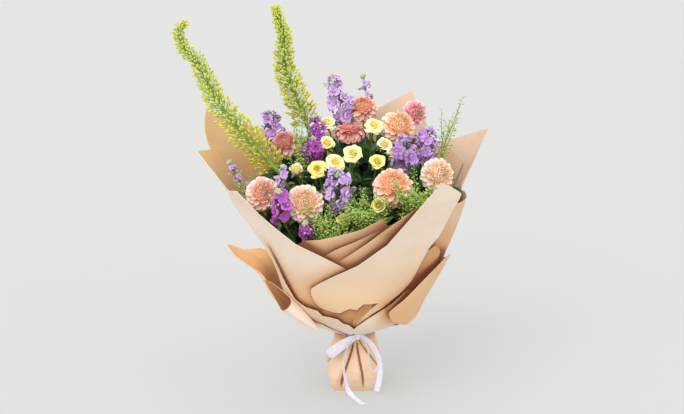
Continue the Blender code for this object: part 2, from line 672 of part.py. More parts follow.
def funnel_radius(z):
    h = max(z - BELL_Z, 0.0)
    return NECK_R + BELL * (1 - math.exp(-h / BELL_REACH)) + CONE_SLOPE * h


def waist(angle, z):
    """How far the wrapper is drawn in at an angle and a height: most on the left, at mid-height."""
    side = math.exp(-(((angle % 360 - WAIST_ANGLE) / WAIST_SPREAD) ** 2))
    return WAIST * side * smooth((z - 0.19) / 0.09) * (1 - 0.45 * smooth((z - 0.30) / 0.13))


def funnel_room(point):
    """How far a point lies inside the wrapper, measured level."""
    depth = FRONT_DEPTH if point[1] < 0 else BACK_DEPTH
    angle = math.degrees(math.atan2(point[1] / depth, point[0]))
    reach = math.hypot(point[0], point[1] / depth)
    return funnel_radius(point[2]) - waist(angle, point[2]) - reach


def funnel_level(layer, flare, collar, step, angle):
    """The point of a sheet at a level: the funnel's line, moved out along its normal, set round the
    funnel's flats and flattened from front to back."""
    base = [Vector((funnel_radius(z), z)) for z in LEVELS]
    way = (base[min(step + 1, len(base) - 1)] - base[max(step - 1, 0)]).normalized()
    rise = max(LEVELS[step] - BELL_Z, 0.0)
    lift = smooth(rise / COLLAR_REACH) if collar else (rise / FLARE_REACH) ** 2
    out = layer * (LAYER + LAYER_GROWTH * smooth(rise / GROWTH_REACH)) + flare * lift
    out -= 0 if collar else waist(angle, LEVELS[step])
    radius, height = base[step] + Vector((way.y, -way.x)) * out
    wide = 360 / FLATS
    low = math.floor(angle / wide) * wide
    place = polar(radius, low).lerp(polar(radius, low + wide), (angle - low) / wide)
    depth = FRONT_DEPTH if place.y < 0 else BACK_DEPTH
    return Vector((place.x, place.y * (1 - (1 - depth) * smooth(rise / FLATTEN_REACH)), height))


def funnel_point(layer, flare, collar, angle, z):
    """The point of a sheet at an angle and a height, in a straight line between two levels."""
    step = min(max(i for i, level in enumerate(LEVELS) if level <= z + 1e-9), len(LEVELS) - 2)
    share = (z - LEVELS[step]) / (LEVELS[step + 1] - LEVELS[step])
    ends = [funnel_level(layer, flare, collar, i, angle) for i in (step, step + 1)]
    return ends[0].lerp(ends[1], share)


def sheet_columns(table):
    """The corners of a sheet's outline, and between them its points on the funnel's edges."""
    wide = 360 / FLATS
    for row, after in zip(table, table[1:]):
        yield row
        for i in range(math.ceil((row[0] + 2.5) / wide), math.floor((after[0] - 2.5) / wide) + 1):
            share = (wide * i - row[0]) / (after[0] - row[0])
            yield tuple(a + (b - a) * share for a, b in zip(row, after))
    yield table[-1]


def make_sheet(row, collection):
    """A sheet of wrapping paper: a grid over the funnel, cut to the sheet's outline.

    Each column runs through the funnel's levels, and levels past the outline fall on its edge,
    where they are merged. Two columns at one angle are a step in the outline, with no paper
    between them.
    """
    name, layer, table = row
    collar = name in COLLARS
    columns = list(sheet_columns(table))
    shape = bmesh.new()
    grid = []
    for angle, low, high, flare in columns:
        heights = [min(max(level, low), high) for level in LEVELS]
        column = [funnel_point(layer, flare, collar, angle, z) for z in heights]
        grid.append([shape.verts.new(point) for point in column])
    for j in range(len(grid) - 1):
        first, second = grid[j], grid[j + 1]
        for i in range(len(LEVELS) - 1):
            if columns[j][0] < columns[j + 1][0]:
                shape.faces.new((first[i], second[i], second[i + 1], first[i + 1]))
    bmesh.ops.remove_doubles(shape, verts=shape.verts, dist=0.0004)
    bmesh.ops.dissolve_degenerate(shape, edges=shape.edges, dist=0.0002)
    bmesh.ops.triangulate(shape, faces=shape.faces, quad_method="FIXED")
    mesh = bpy.data.meshes.new(name)
    shape.to_mesh(mesh)
    shape.free()
    sheet = add_object(name, mesh, collection)
    thick = sheet.modifiers.new("thickness", "SOLIDIFY")
    thick.thickness = PAPER
    thick.offset = 1
    thick.use_even_offset = False
    return finish(sheet, KRAFT, 0.8)


def foot_radius(angle, z):
    """The pouch: wider at its belly, drawn in at its neck, with pleats that end below the neck."""
    belly = math.exp(-(((z - FOOT_BELLY_Z) / FOOT_BELLY_REACH) ** 2))
    drawn = smooth((z - FOOT_BELLY_Z) / (FOOT_NECK_Z - FOOT_BELLY_Z))
    body = FOOT_R + (FOOT_BELLY_R - FOOT_R) * belly * smooth(z / 0.02)
    swell = math.sin(math.pi * min(z / PLEAT_TOP, 1.0))
    pleat = PLEAT_DEPTH * swell * math.cos(math.radians(PLEATS * angle))
    return (body * (1 - drawn) + FOOT_NECK_R * drawn) * (1 + pleat)


def make_foot(collection):
    """The paper foot: a pouch with a flat underside, pleated up to the ribbon."""
    around = 3 * PLEATS
    shape = bmesh.new()
    bmesh.ops.create_circle(shape, cap_ends=True, segments=around, radius=FOOT_R)
    edges = shape.edges[:]
    for z in (0.026, 0.062, 0.098, FOOT_TOP):
        grown = bmesh.ops.extrude_edge_only(shape, edges=edges)["geom"]
        for vert in (g for g in grown if isinstance(g, bmesh.types.BMVert)):
            angle = math.degrees(math.atan2(vert.co.y, vert.co.x))
            vert.co = polar(foot_radius(angle, z), angle, z)
        edges = [g for g in grown if isinstance(g, bmesh.types.BMEdge)]
    foot = add_object("paper_foot", mesh_from(shape, "paper_foot"), collection)
    thick = foot.modifiers.new("thickness", "SOLIDIFY")
    thick.thickness = FOOT_WALL
    thick.offset = -1
    return finish(foot, KRAFT, 0.8)


def make_ring(name, radius, thick, height, z, sides, collection):
    """A band round the Z axis: a turned section, whose flats stay outside the radius."""
    mesh = bpy.data.meshes.new(name)
    radius /= math.cos(math.pi / sides)
    mesh.from_pydata([(radius, 0, z + height / 2), (radius, 0, z - height / 2)], [(0, 1)], [])
    ring = add_object(name, mesh, collection)
    screw = ring.modifiers.new("turn", "SCREW")
    screw.steps = sides
    screw.render_steps = sides
    screw.use_merge_vertices = True
    screw.merge_threshold = MERGE
    wall = ring.modifiers.new("thickness", "SOLIDIFY")
    wall.thickness = thick
    wall.offset = 1
    return ring


def strip(points, sides, width, collection):
    """A piece of flat ribbon along a way, with the side that its width lies along at each point."""
    shape = bmesh.new()
    last = None
    for point, side in zip(points, sides):
        half = Vector(side).normalized() * width / 2
        pair = (shape.verts.new(Vector(point) - half), shape.verts.new(Vector(point) + half))
        if last:
            shape.faces.new((last[0], last[1], pair[1], pair[0]))
        last = pair
    bmesh.ops.triangulate(shape, faces=shape.faces)
    mesh = bpy.data.meshes.new("strip")
    shape.to_mesh(mesh)
    shape.free()
    piece = add_object("strip", mesh, collection)
    thick = piece.modifiers.new("thickness", "SOLIDIFY")
    thick.thickness = RIBBON_THICK
    thick.offset = 0
    piece.data = evaluated(piece)
    piece.modifiers.clear()
    return piece


def bow_loop(reach, drop, fold, width, collection):
    """A loop of the bow: out from the knot, round, and back a little lower."""
    points, sides = [], []
    for i in range(9):
        turn = math.pi * 2 * i / 8
        out = (1 - math.cos(turn)) / 2
        forward = -0.004 - 0.018 * out - fold * math.sin(turn)
        points.append(KNOT + Vector((reach * out, forward, drop * out)))
        sides.append((0.25 * math.copysign(1, reach), -0.2, 1.0))
    return strip(points, sides, width, collection)


def make_ribbon(collection):
    """The satin ribbon: a band round the neck, a knot, two loops and two tails."""
    band = make_ring("band", FOOT_NECK_R + GAP, RIBBON_THICK, BAND_H, RIBBON_Z, 20, collection)
    band.data = evaluated(band)
    band.modifiers.clear()
    knot = bmesh.new()
    bmesh.ops.create_uvsphere(knot, u_segments=6, v_segments=4, radius=1.0)
    for vert in knot.verts:
        vert.co = KNOT + vert.co * KNOT_HALF
    pieces = [band, add_object("knot", mesh_from(knot, "knot"), collection)]
    pieces.append(bow_loop(-0.060, -0.044, 0.006, RIBBON_W, collection))
    pieces.append(bow_loop(0.030, -0.076, 0.004, SMALL_LOOP_W, collection))
    right = ((0, 0, 0), (0.020, -0.018, -0.018), (0.042, -0.024, -0.052), (0.043, -0.026, -0.082),
             (0.036, -0.028, -0.108))
    left = ((0, 0, 0), (-0.010, -0.016, -0.024), (-0.024, -0.024, -0.056), (-0.022, -0.028, -0.090),
            (-0.006, -0.036, -0.1075), (0.010, -0.064, -0.1085))
    for tail, side in ((right, (1, -0.3, 0)), (left, (1, 0.2, 0))):
        points = [KNOT + Vector(p) for p in tail]
        pieces.append(strip(points, [side] * len(points), TAIL_W, collection))
    return join("ribbon", pieces, SATIN, 0.4)


def main():
    for thing in list(bpy.data.objects):
        bpy.data.objects.remove(thing, do_unlink=True)
    collection = bpy.data.collections.new("mixed_flower_bouquet")
    bpy.context.scene.collection.children.link(collection)
    room = Room()
    seats = make_balls(collection, room)
    for row in STOCKS:
        seats.append(make_stock(row, collection, room))
    for row in FOXTAILS:
        seats.append(make_foxtail(row, collection, room))
    for row in SPRAYS:
        seats += make_spray(row, collection, room)
    make_greenery(seats, collection, room)
    tie = make_ring("stem_tie", BUNDLE_R + GAP, TIE_THICK, TIE_H, TIE_Z + TIE_H / 2, 16, collection)
    finish(tie, STRING, 0.9)
    for row in SHEETS:
        make_sheet(row, collection)
    make_foot(collection)
    make_ribbon(collection)


main()
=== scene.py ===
"""The looks of a mixed flower bouquet: blooms, foliage, kraft paper and ribbon, round the part.

Every surface is a function of two parameters, worked out on a grid as whole arrays. Lengths are in
metres, but millimetres in the tables of pieces at the end, and angles are in radians, but degrees
for places round the paper's funnel. The front looks along -Y.
"""

import math

import bpy
import numpy as np
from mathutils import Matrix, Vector


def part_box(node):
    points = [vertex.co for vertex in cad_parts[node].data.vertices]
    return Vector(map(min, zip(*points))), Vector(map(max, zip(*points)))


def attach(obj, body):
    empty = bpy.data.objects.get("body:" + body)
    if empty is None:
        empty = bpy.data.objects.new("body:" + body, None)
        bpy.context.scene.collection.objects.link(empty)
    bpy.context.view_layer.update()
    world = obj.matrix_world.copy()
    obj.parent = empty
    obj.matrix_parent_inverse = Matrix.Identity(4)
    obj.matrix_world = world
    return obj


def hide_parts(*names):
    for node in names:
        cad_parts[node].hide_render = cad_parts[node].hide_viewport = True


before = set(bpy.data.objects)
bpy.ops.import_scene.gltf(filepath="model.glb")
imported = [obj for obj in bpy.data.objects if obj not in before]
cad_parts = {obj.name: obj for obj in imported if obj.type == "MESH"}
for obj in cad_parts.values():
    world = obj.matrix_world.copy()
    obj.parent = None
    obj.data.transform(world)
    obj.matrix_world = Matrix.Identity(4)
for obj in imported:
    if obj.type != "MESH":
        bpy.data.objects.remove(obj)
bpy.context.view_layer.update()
GOLDEN = math.radians(137.508)


# ---- Number tools ----------------------------------------------------------------------------


def unit(v):
    return v / np.maximum(np.linalg.norm(v, axis=-1, keepdims=True), 1e-9)


def smooth(x):
    """0 up to x = 0, 1 from x = 1, an even S between."""
    x = np.clip(x, 0.0, 1.0)
    return x * x * (3 - 2 * x)


def metres(millimetres):
    return np.array(millimetres, float) / 1000


def each(v):
    """Numbers, one for each grid, shaped so that they spread over the points of the grids."""
    return np.reshape(v, (-1, 1, 1))


def circle(count):
    return np.linspace(0, 2 * math.pi, count, endpoint=False)


def polar(radius, turn, z):
    """Points at a distance from the z axis, at an angle round it and at a height."""
    return np.stack(np.broadcast_arrays(radius * np.cos(turn), radius * np.sin(turn), z), -1)


def rays(turn, side, up):
    """The directions at angles round an axis: cos(turn) * side + sin(turn) * up."""
    return np.cos(turn)[..., None] * side + np.sin(turn)[..., None] * up


def basis(out, near):
    """Side, out and up of directions: up is what of near stands square to out."""
    out = unit(np.asarray(out, float))
    side = unit(np.cross(out, near))
    return side, out, np.cross(side, out)


def bezier(points, steps):
    """A cubic Bezier curve through (n, 4, 3) control points, as (n, steps, 3)."""
    t = np.linspace(0, 1, steps)[None, :, None]
    a, b, c, d = (points[:, i, None] for i in range(4))
    return a * (1 - t) ** 3 + 3 * b * t * (1 - t) ** 2 + 3 * c * t * t * (1 - t) + d * t**3


def spline(points, steps):
    """A Catmull-Rom curve through points, with its end points doubled."""
    p = np.asarray(points, float)
    p = np.concatenate([2 * p[:1] - p[1:2], p, 2 * p[-1:] - p[-2:-1]])
    t = np.linspace(0, len(p) - 3 - 1e-9, steps)
    i = t.astype(int)
    t = (t - i)[:, None]
    a, b, c, d = p[i], p[i + 1], p[i + 2], p[i + 3]
    return 0.5 * (2 * b + (c - a) * t + (2 * a - 5 * b + 4 * c - d) * t**2
                  + (3 * b - 3 * c + d - a) * t**3)


def head_frame(node, axis, grow):
    """A head's radius, the share grow of its solid's, and what puts points of its own frame, with
    across, up and out as their axes, in their place."""
    low, high = (np.array(v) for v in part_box(node))
    radius = float(np.sort(high - low)[1:].mean()) / 2 * grow
    side, out, up = basis(axis, np.array([0.02, 0.01, 1.0]))
    return radius, lambda points: (low + high) / 2 + points @ np.stack([side, up, out])


# ---- The paper's funnel ----------------------------------------------------------------------

TIE_Z, BELL_Z, NECK_R = 0.104, 0.124, 0.0293
BELL, BELL_REACH, CONE_SLOPE = 0.0846, 0.045, 0.46
FRONT_DEPTH, BACK_DEPTH, FLATTEN_REACH = 0.80, 0.62, 0.16
LAYER, LAYER_GROWTH, GROWTH_REACH = 0.0010, 0.0014, 0.07
FLARE_REACH, COLLAR_REACH, PAPER = 0.38, 0.16, 0.0007
WAIST, WAIST_TURN, WAIST_SPREAD = 0.022, 188, 28
LEAN_TURNS = (-58, -32, 2, 10, 18, 27)
LEANS = (0.020, 0.044, 0.050, 0.048, 0.034, 0)
ROOM, ROOM_TOP, ROOM_FADE = 0.004, 0.50, 0.04


def funnel_line(z):
    """The funnel's radius at a height, and its slope: a bell that opens by BELL, and a cone."""
    rise = np.maximum(z - BELL_Z, 0)
    fall = np.exp(-rise / BELL_REACH)
    radius = NECK_R + BELL * (1 - fall) + CONE_SLOPE * rise
    slope = (BELL / BELL_REACH * fall + CONE_SLOPE) * smooth((z - BELL_Z + 0.006) / 0.014)
    return radius, slope


def waist(turn, z):
    """How far the left side is drawn in between the collars and the mouth: a bell round its angle,
    from a height of 0.19 on, and by up to 0.45 of it less above 0.30."""
    side = np.exp(-(((np.degrees(turn) % 360 - WAIST_TURN) / WAIST_SPREAD) ** 2))
    return WAIST * side * smooth((z - 0.19) / 0.09) * (1 - 0.45 * smooth((z - 0.30) / 0.13))


def drawn_in(turn, z):
    """How far the sheets lean in, by angle and height: the right one by LEANS, and the waist."""
    degrees = (np.degrees(turn) + 90) % 360 - 90
    lean = np.interp(degrees, LEAN_TURNS, LEANS)
    lean = np.where((degrees > LEAN_TURNS[0] - 2) & (degrees < LEAN_TURNS[-1]), lean, 0)
    return lean * (np.maximum(z - BELL_Z, 0) / FLARE_REACH) ** 2 + waist(turn, z)


def flattened(y, z):
    """The share of the funnel's depth in front and behind, which falls from 1 upwards."""
    depth = np.where(y < 0, FRONT_DEPTH, BACK_DEPTH)
    return 1 - (1 - depth) * smooth((z - BELL_Z) / FLATTEN_REACH)


# ---- Meshes from grids -----------------------------------------------------------------------


def grid_quads(rows, columns, closed):
    """The faces of a grid, row by row; a closed one joins its last column to its first."""
    r = np.arange(rows - 1)[:, None]
    c = np.arange(columns if closed else columns - 1)[None, :]
    d = (c + 1) % columns
    corners = (r * columns + c, r * columns + d, (r + 1) * columns + d, (r + 1) * columns + c)
    return np.stack(np.broadcast_arrays(*corners), -1).reshape(-1, 4)


def link(name, data):
    """A new object of the scene that shows the data."""
    thing = bpy.data.objects.new(name, data)
    bpy.context.scene.collection.objects.link(thing)
    return thing


class Pile:
    """Grids of points gathered into one mesh, with their marks.

    Marks are four numbers a point, kept as two attributes: petal, a vector of the share along a
    petal, the place across it from -1 to 1 and the petal's own chance, and age, which is 0 at the
    heart of a head and 1 at its outside. Paper keeps its painted shade where a petal keeps its
    chance.
    """

    def __init__(self):
        self.points, self.faces, self.marks, self.kinds, self.count = [], [], [], [], 0

    def add(self, points, marks, closed=False, kind=0, flip=False):
        """Adds (n, rows, columns, 3) points, with marks that spread over (n, rows, columns)."""
        n, rows, columns, _ = points.shape
        quads = grid_quads(rows, columns, closed)
        if flip:
            quads = quads[:, ::-1]
        first = self.count + each(np.arange(n)) * rows * columns
        self.faces.append((quads[None] + first).reshape(-1, 4))
        self.kinds.append(np.full(n * len(quads), kind))
        self.points.append(points.reshape(-1, 3))
        spread = [np.broadcast_to(mark, (n, rows, columns)).reshape(-1) for mark in marks]
        self.marks.append(np.stack(spread, -1))
        self.count += n * rows * columns

    def tuck_in(self):
        """Draws in what stands outside the paper's inner side: its distance from the bouquet's
        middle line, with the section unflattened, is held under the funnel's radius less ROOM.
        It fades out over ROOM_FADE above ROOM_TOP."""
        for points in self.points:
            x, y, z = points.T
            y = y / flattened(y, z)
            wall = funnel_line(z)[0] - ROOM - drawn_in(np.arctan2(y, x), z)
            fit = np.minimum(wall / np.maximum(np.hypot(x, y), 1e-6), 1)
            fit = np.where(z < BELL_Z, 1, fit)
            points[:, :2] *= (fit + (1 - fit) * smooth((z - ROOM_TOP) / ROOM_FADE))[:, None]

    def mesh(self, name, finishes, slot, *replaces, sharp=None):
        """Makes the piece: one object whose place is in its mesh."""
        points, faces = np.concatenate(self.points), np.concatenate(self.faces)
        marks, kinds = np.concatenate(self.marks), np.concatenate(self.kinds)
        made = bpy.data.meshes.new(name)
        made.vertices.add(len(points))
        made.vertices.foreach_set("co", points.astype(np.float32).ravel())
        made.loops.add(4 * len(faces))
        made.loops.foreach_set("vertex_index", faces.astype(np.int32).ravel())
        made.polygons.add(len(faces))
        made.polygons.foreach_set("loop_start", np.arange(0, 4 * len(faces), 4, dtype=np.int32))
        made.polygons.foreach_set("material_index", kinds.astype(np.int32))
        for finish in finishes:
            made.materials.append(finish)
        petal = made.attributes.new("petal", "FLOAT_VECTOR", "POINT")
        petal.data.foreach_set("vector", marks[:, :3].astype(np.float32).ravel())
        age = made.attributes.new("age", "FLOAT", "POINT")
        age.data.foreach_set("value", marks[:, 3].astype(np.float32).ravel())
        made.update(calc_edges=True)
        made.validate()
        made.shade_smooth()
        if sharp:
            made.set_sharp_from_angle(angle=math.radians(sharp))
        piece = link(name, made)
        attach(piece, "root")
        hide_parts(*replaces)


def blades(long, half, cup, bend, rows, columns, ruffle=0.0, waves=2.5, notch=0.0, chances=0.0):
    """Petals or leaves in their own frames, as (n, rows, columns, 3) of side, out and up.

    The middle line starts along out and turns by the angle bend(u) towards up at share u of its
    length. Across it, from -1 to 1, a blade is an arc of half angle cup(u): half(u) * sin(cup * a)
    / cup to the side and half(u) * (1 - cos(cup * a)) / cup up. A ruffle adds a wave that grows
    with u squared, and a notch draws the tip's middle back.
    """
    u = (1 - (1 - np.linspace(0, 1, rows)) ** 1.35)[None, :, None]
    a = np.linspace(-1, 1, columns)[None, None]
    long = each(long)
    turn = bend(u)
    middle = (turn[:, 1:] + turn[:, :-1]) / 2
    step = np.diff(u, axis=1)
    zero = np.zeros_like(turn[:, :1])
    y = long * np.concatenate([zero, np.cumsum(np.cos(middle) * step, 1)], 1)
    z = long * np.concatenate([zero, np.cumsum(np.sin(middle) * step, 1)], 1)
    arc = np.maximum(cup(u), 0.02)
    wide = half(u)
    x = wide * np.sin(arc * a) / arc
    rise = wide * (1 - np.cos(arc * a)) / arc
    rise = rise + ruffle * np.sin(waves * math.pi * a + 40 * chances) * u**2
    back = notch * long * np.exp(-((a / 0.3) ** 2)) * u**4
    y = y - rise * np.sin(turn) - back * np.cos(turn)
    z = z + rise * np.cos(turn) - back * np.sin(turn)
    return np.stack(np.broadcast_arrays(x, y, z), -1), u, a


def set_blades(shape, root, out, near):
    """Puts blades at their roots, pointing out, with their upper side towards near."""
    side, out, up = (v[:, None, None] for v in basis(out, near))
    return root[:, None, None] + side * shape[..., :1] + out * shape[..., 1:2] + up * shape[..., 2:]


def tubes(paths, radii, sides=6):
    """Round stems: a ring of points carried along (n, steps, 3) paths, closed at both ends.

    A ring's point at the angle t is path + radius * (cos t * side + sin t * up), and the first and
    last ring shrink to a point.
    """
    paths = np.concatenate([paths[:, :1], paths, paths[:, -1:]], 1)
    n, steps, _ = paths.shape
    point = np.full((n, 1), 1e-5)
    radii = np.concatenate([point, np.broadcast_to(radii, (n, steps - 2)), point], 1)
    way = np.gradient(paths, axis=1)
    way[:, 0], way[:, -1] = way[:, 1], way[:, -2]
    side, _, up = basis(way, np.array([0.31, 0.87, 0.12]))
    ring = rays(circle(sides), side[:, :, None], up[:, :, None])
    return paths[:, :, None] + radii[..., None, None] * ring


def buds(root, tip, radius, sides=5, widest=0.55):
    """Closed buds from root to tip: radius * sin(pi * t^k)^0.8 at a share t, widest at a share."""
    t = np.linspace(0, 1, 6)
    power = math.log(0.5) / math.log(widest)
    girth = np.maximum(np.sin(math.pi * t**power), 0) ** 0.8 + 0.002
    way = tip - root
    side, _, up = (v[:, None, None] for v in basis(way, np.array([0.31, 0.27, 0.9])))
    middle = root[:, None] + way[:, None] * t[None, :, None]
    wide = np.reshape(radius, (-1, 1)) * girth[None]
    return middle[:, :, None] + wide[..., None, None] * rays(circle(sides), side, up)


# ---- Shader tools ----------------------------------------------------------------------------


class Value:
    """A value that changes over a surface: a socket, with operators that add its Math nodes."""

    def __init__(self, finish, socket):
        self.finish, self.socket = finish, socket

    def math(self, operation, *others):
        inputs = dict(enumerate(others))
        return self.finish.node("ShaderNodeMath", {"operation": operation}, inputs)

    def __add__(self, other):
        return self.math("ADD", self, other)

    def __sub__(self, other):
        return self.math("SUBTRACT", self, other)

    def __mul__(self, other):
        return self.math("MULTIPLY", self, other)

    def size(self):
        """How far it is from 0, to either side."""
        return self.math("POWER", self * self, 0.5)


class Finish:
    """One procedural material, built round its Principled shader."""

    def __init__(self, name, rough, **fixed):
        self.material = bpy.data.materials.new(name)
        self.material.use_nodes = True
        self.tree = self.material.node_tree
        self.shader = self.tree.nodes["Principled BSDF"]
        self.feed(Roughness=rough, **fixed)

    def feed(self, **sockets):
        for socket, value in sockets.items():
            self.put(self.shader.inputs[socket.replace("_", " ")], value)

    def put(self, target, value):
        """Links a value to a socket, or sets it to a number or a colour."""
        if isinstance(value, Value):
            self.tree.links.new(value.socket, target)
        else:
            colour = target.type == "RGBA" and len(value) == 3
            target.default_value = (*value, 1.0) if colour else value

    def node(self, kind, settings=(), inputs=(), out=0):
        """Adds a node: its settings first, then the values or links of its sockets."""
        made = self.tree.nodes.new(kind)
        for key, value in dict(settings).items():
            setattr(made, key, value)
        for key, value in dict(inputs).items():
            self.put(made.inputs[key], value)
        return Value(self, made.outputs[out])

    def marks(self):
        """The share along a petal, the place across it, its chance, and its age."""
        vector = self.node("ShaderNodeAttribute", {"attribute_name": "petal"}, out=1)
        age = self.node("ShaderNodeAttribute", {"attribute_name": "age"}, out=2)
        return (*(self.node("ShaderNodeSeparateXYZ", (), {0: vector}, i) for i in range(3)), age)

    def place(self):
        return self.node("ShaderNodeTexCoord", out=3)

    def join(self, x, y, z):
        return self.node("ShaderNodeCombineXYZ", (), {0: x, 1: y, 2: z})

    def stretch(self, vector, scale):
        return self.node("ShaderNodeMapping", (), {0: vector, 3: scale})

    def noise(self, vector, scale, detail=3.0, rough=0.5):
        inputs = {"Vector": vector, "Scale": scale, "Detail": detail, "Roughness": rough}
        return self.node("ShaderNodeTexNoise", (), inputs)

    def step(self, value, low, high, start=0.0, end=1.0):
        """Start up to low, end from high, an even S between."""
        inputs = {0: value, 1: low, 2: high, 3: start, 4: end}
        return self.node("ShaderNodeMapRange", {"interpolation_type": "SMOOTHSTEP"}, inputs)

    def mix(self, first, second, share):
        """From the first colour to the second by a share; a colour is a value or 0xRRGGBB."""
        first, second = (tone(c) if isinstance(c, int) else c for c in (first, second))
        return self.node("ShaderNodeMix", {"data_type": "RGBA"}, {0: share, 6: first, 7: second}, 2)

    def bump(self, height, distance, strength):
        inputs = {"Strength": strength, "Distance": distance, "Height": height}
        return self.node("ShaderNodeBump", (), inputs)

    def done(self, colour, bump, **more):
        self.feed(Base_Color=colour, Normal=bump, **more)
        return self.material


def tone(colour):
    """A linear colour from the usual number 0xRRGGBB."""
    parts = (part / 255 for part in colour.to_bytes(3, "big"))
    return tuple(p / 12.92 if p <= 0.04045 else ((p + 0.055) / 1.055) ** 2.4 for p in parts)


# ---- Finishes --------------------------------------------------------------------------------


def petal_finish(name, heart, body, rim, tip, base, rough=0.5, vein=0.25, glow=0.0):
    """A petal: its colour goes from the head's heart over its body to its rim, is deeper at the
    petal's base, pales at its edges and tip, and is streaked by fine veins along it. A glow makes
    it shine by itself: painted light for the light that comes through the petals."""
    f = Finish(name, rough, Sheen_Weight=0.2, Sheen_Roughness=0.4)
    along, across, luck, age = f.marks()
    colour = f.mix(heart, body, f.step(age, 0.02, 0.34))
    colour = f.mix(colour, rim, f.step(age + luck * 0.30, 0.60, 1.10))
    colour = f.mix(colour, body, f.step(luck, 0.75, 1.0) * 0.5)
    colour = f.mix(base, colour, f.step(along, 0.22, 0.82))
    edge = f.step(across.size(), 0.45, 1.0)
    pale = edge.math("MAXIMUM", edge * 0.75, f.step(along, 0.72, 1.0))
    colour = f.mix(colour, tip, pale * 0.7)
    veins = f.noise(f.join(across * 9, along * 1.1, luck * 40), 1.0, 2.0)
    colour = f.mix(colour, base, f.step(veins, 0.48, 0.85) * vein)
    # painted light: emission that stands in for light shining through the petals
    if glow:
        f.feed(Emission_Color=colour, Emission_Strength=glow)
    rough_by = f.step(veins, 0.3, 0.7, rough - 0.08, rough + 0.1)
    return f.done(colour, f.bump(veins, 0.0005, 0.4), Roughness=rough_by)


def green_finish(name, dark, light, rough=0.45, vary=120, veins=False):
    """Leaves, stems and pods: darker and lighter patches, with a net of pale ribs on leaves."""
    f = Finish(name, rough)
    along, across, luck, _ = f.marks()
    patch = f.noise(f.place(), vary, 4.0)
    colour = f.mix(dark, light, f.step(patch + luck * 0.35, 0.35, 0.95))
    height = patch
    if veins:
        rib = f.step(across.size(), 0.0, 0.10, 1.0, 0.0)
        slant = along * 9 + across.size() * -3.2
        side = f.step(slant.math("PINGPONG", slant, 0.5), 0.0, 0.13, 1.0, 0.0)
        net = rib.math("MAXIMUM", rib, side * 0.6)
        colour = f.mix(colour, light, net * 0.55)
        height = patch * 0.4 + net * -1.0
    rough_by = f.step(patch, 0.3, 0.8, rough - 0.1, rough + 0.15)
    return f.done(colour, f.bump(height, 0.0006, 0.5), Roughness=rough_by)


def kraft_finish(name, light, dark, warm, start=0.34, end=0.15):
    """Kraft paper: pale cloudy patches, fine ribs along the sheet, fibres and soft crinkles, with a
    painted highlight, a paler line, along the edges. From a height down to another it turns to the
    warm colour, on most sheets a deeper tone painted as shade and warm bounce light near the tie.
    Where it lies beside or under the next sheet it takes painted shade, orange and then deep brown."""
    f = Finish(name, 0.78, Sheen_Weight=0.15)
    across, up, hidden, edge = f.marks()
    place = f.join(across, up, 0.5)
    cloud = f.noise(place, 14, 4.0)
    fibre = f.noise(f.stretch(place, (500, 60, 1)), 1.0, 4.0, 0.6)
    ribs = (across * 5200).math("SINE", across * 5200)
    crease = f.noise(f.stretch(place, (13, 20, 1)), 1.0, 3.0, 0.45)
    ridge = ((crease - 0.5) * 2.0).math("ABSOLUTE", (crease - 0.5) * 2.0)
    colour = f.mix(light, dark, f.step(cloud, 0.35, 0.75) * 0.7)
    # from one height down the colour turns warm: on most sheets painted shade and warm bounce light
    colour = f.mix(colour, warm, f.step(up + (cloud - 0.5) * 0.10, start, end))
    colour = f.mix(colour, dark, f.step(fibre, 0.52, 0.85) * 0.30)
    # painted highlight: a paler line along each edge
    colour = f.mix(colour, light, f.step(edge, 0.0, 0.004, 0.8, 0.0))
    # painted shade: orange, then deep brown, where the sheet lies beside or under an outer sheet
    colour = f.mix(colour, PAINTED_SHADE_ORANGE, f.step(hidden, 0.0, 0.60) * 0.80)
    colour = f.mix(colour, PAINTED_SHADE_BROWN, f.step(hidden, 0.40, 1.0) * 0.85)
    height = f.step(ridge, 0.0, 0.12) * 0.30 + fibre * 0.10 + ribs * 0.010 + cloud * 1.0
    rough_by = f.step(fibre, 0.3, 0.8, 0.70, 0.88)
    return f.done(colour, f.bump(height, 0.0010, 0.45), Roughness=rough_by)


def satin_finish():
    """Satin: pale lilac white, fine threads along the ribbon, and a woven edge."""
    f = Finish("satin_ribbon", 0.34, Sheen_Weight=0.5, Sheen_Roughness=0.3)
    along, across, luck, _ = f.marks()
    threads = f.noise(f.join(along * 14, across * 55, luck), 1.0, 2.0)
    edge = f.step(across.size(), 0.86, 0.94)
    soft = f.noise(f.place(), 60)
    colour = f.mix(0xF0EEFA, 0xD8D4EC, f.step(threads + soft * 0.5, 0.5, 1.1))
    colour = f.mix(colour, 0xF8F8FC, edge * 0.7)
    bump = f.bump(threads * 0.5 + edge, 0.0003, 0.4)
    return f.done(colour, bump, Roughness=f.step(threads, 0.3, 0.7, 0.26, 0.42))


def string_finish():
    """String: light and dark strands that twist round it."""
    f = Finish("twisted_string", 0.85)
    along = f.marks()[0]
    twist = (along * 20).math("SINE", along * 20)
    strands = twist + f.noise(f.place(), 900)
    colour = f.mix(0x96764A, 0xCEB280, f.step(strands, -0.4, 1.4))
    return f.done(colour, f.bump(strands, 0.0004, 0.8))


def foxtail_finish():
    """Foxtail buds: green at their base, yellow over the middle and paler at the tip; towards the
    foot of the spike they turn olive and brown."""
    f = Finish("foxtail_buds", 0.45)
    along, _, luck, age = f.marks()
    colour = f.mix(0xAAC03E, 0xDADE56, f.step(along + luck * 0.3, 0.05, 0.75))
    colour = f.mix(colour, 0xE4E67E, f.step(along, 0.7, 1.0) * 0.6)
    colour = f.mix(colour, 0xBEAA24, f.step(age + luck * 0.18, 0.40, 0.04) * 0.75)
    patch = f.noise(f.place(), 260)
    colour = f.mix(colour, 0xA0BA30, f.step(patch, 0.5, 0.8) * 0.35)
    return f.done(colour, f.bump(patch, 0.0004, 0.5))


# ---- Dahlias ---------------------------------------------------------------------------------

HEART_SIZE, FULL_TILT, LAST_TILT = 0.40, 1.25, 2.02


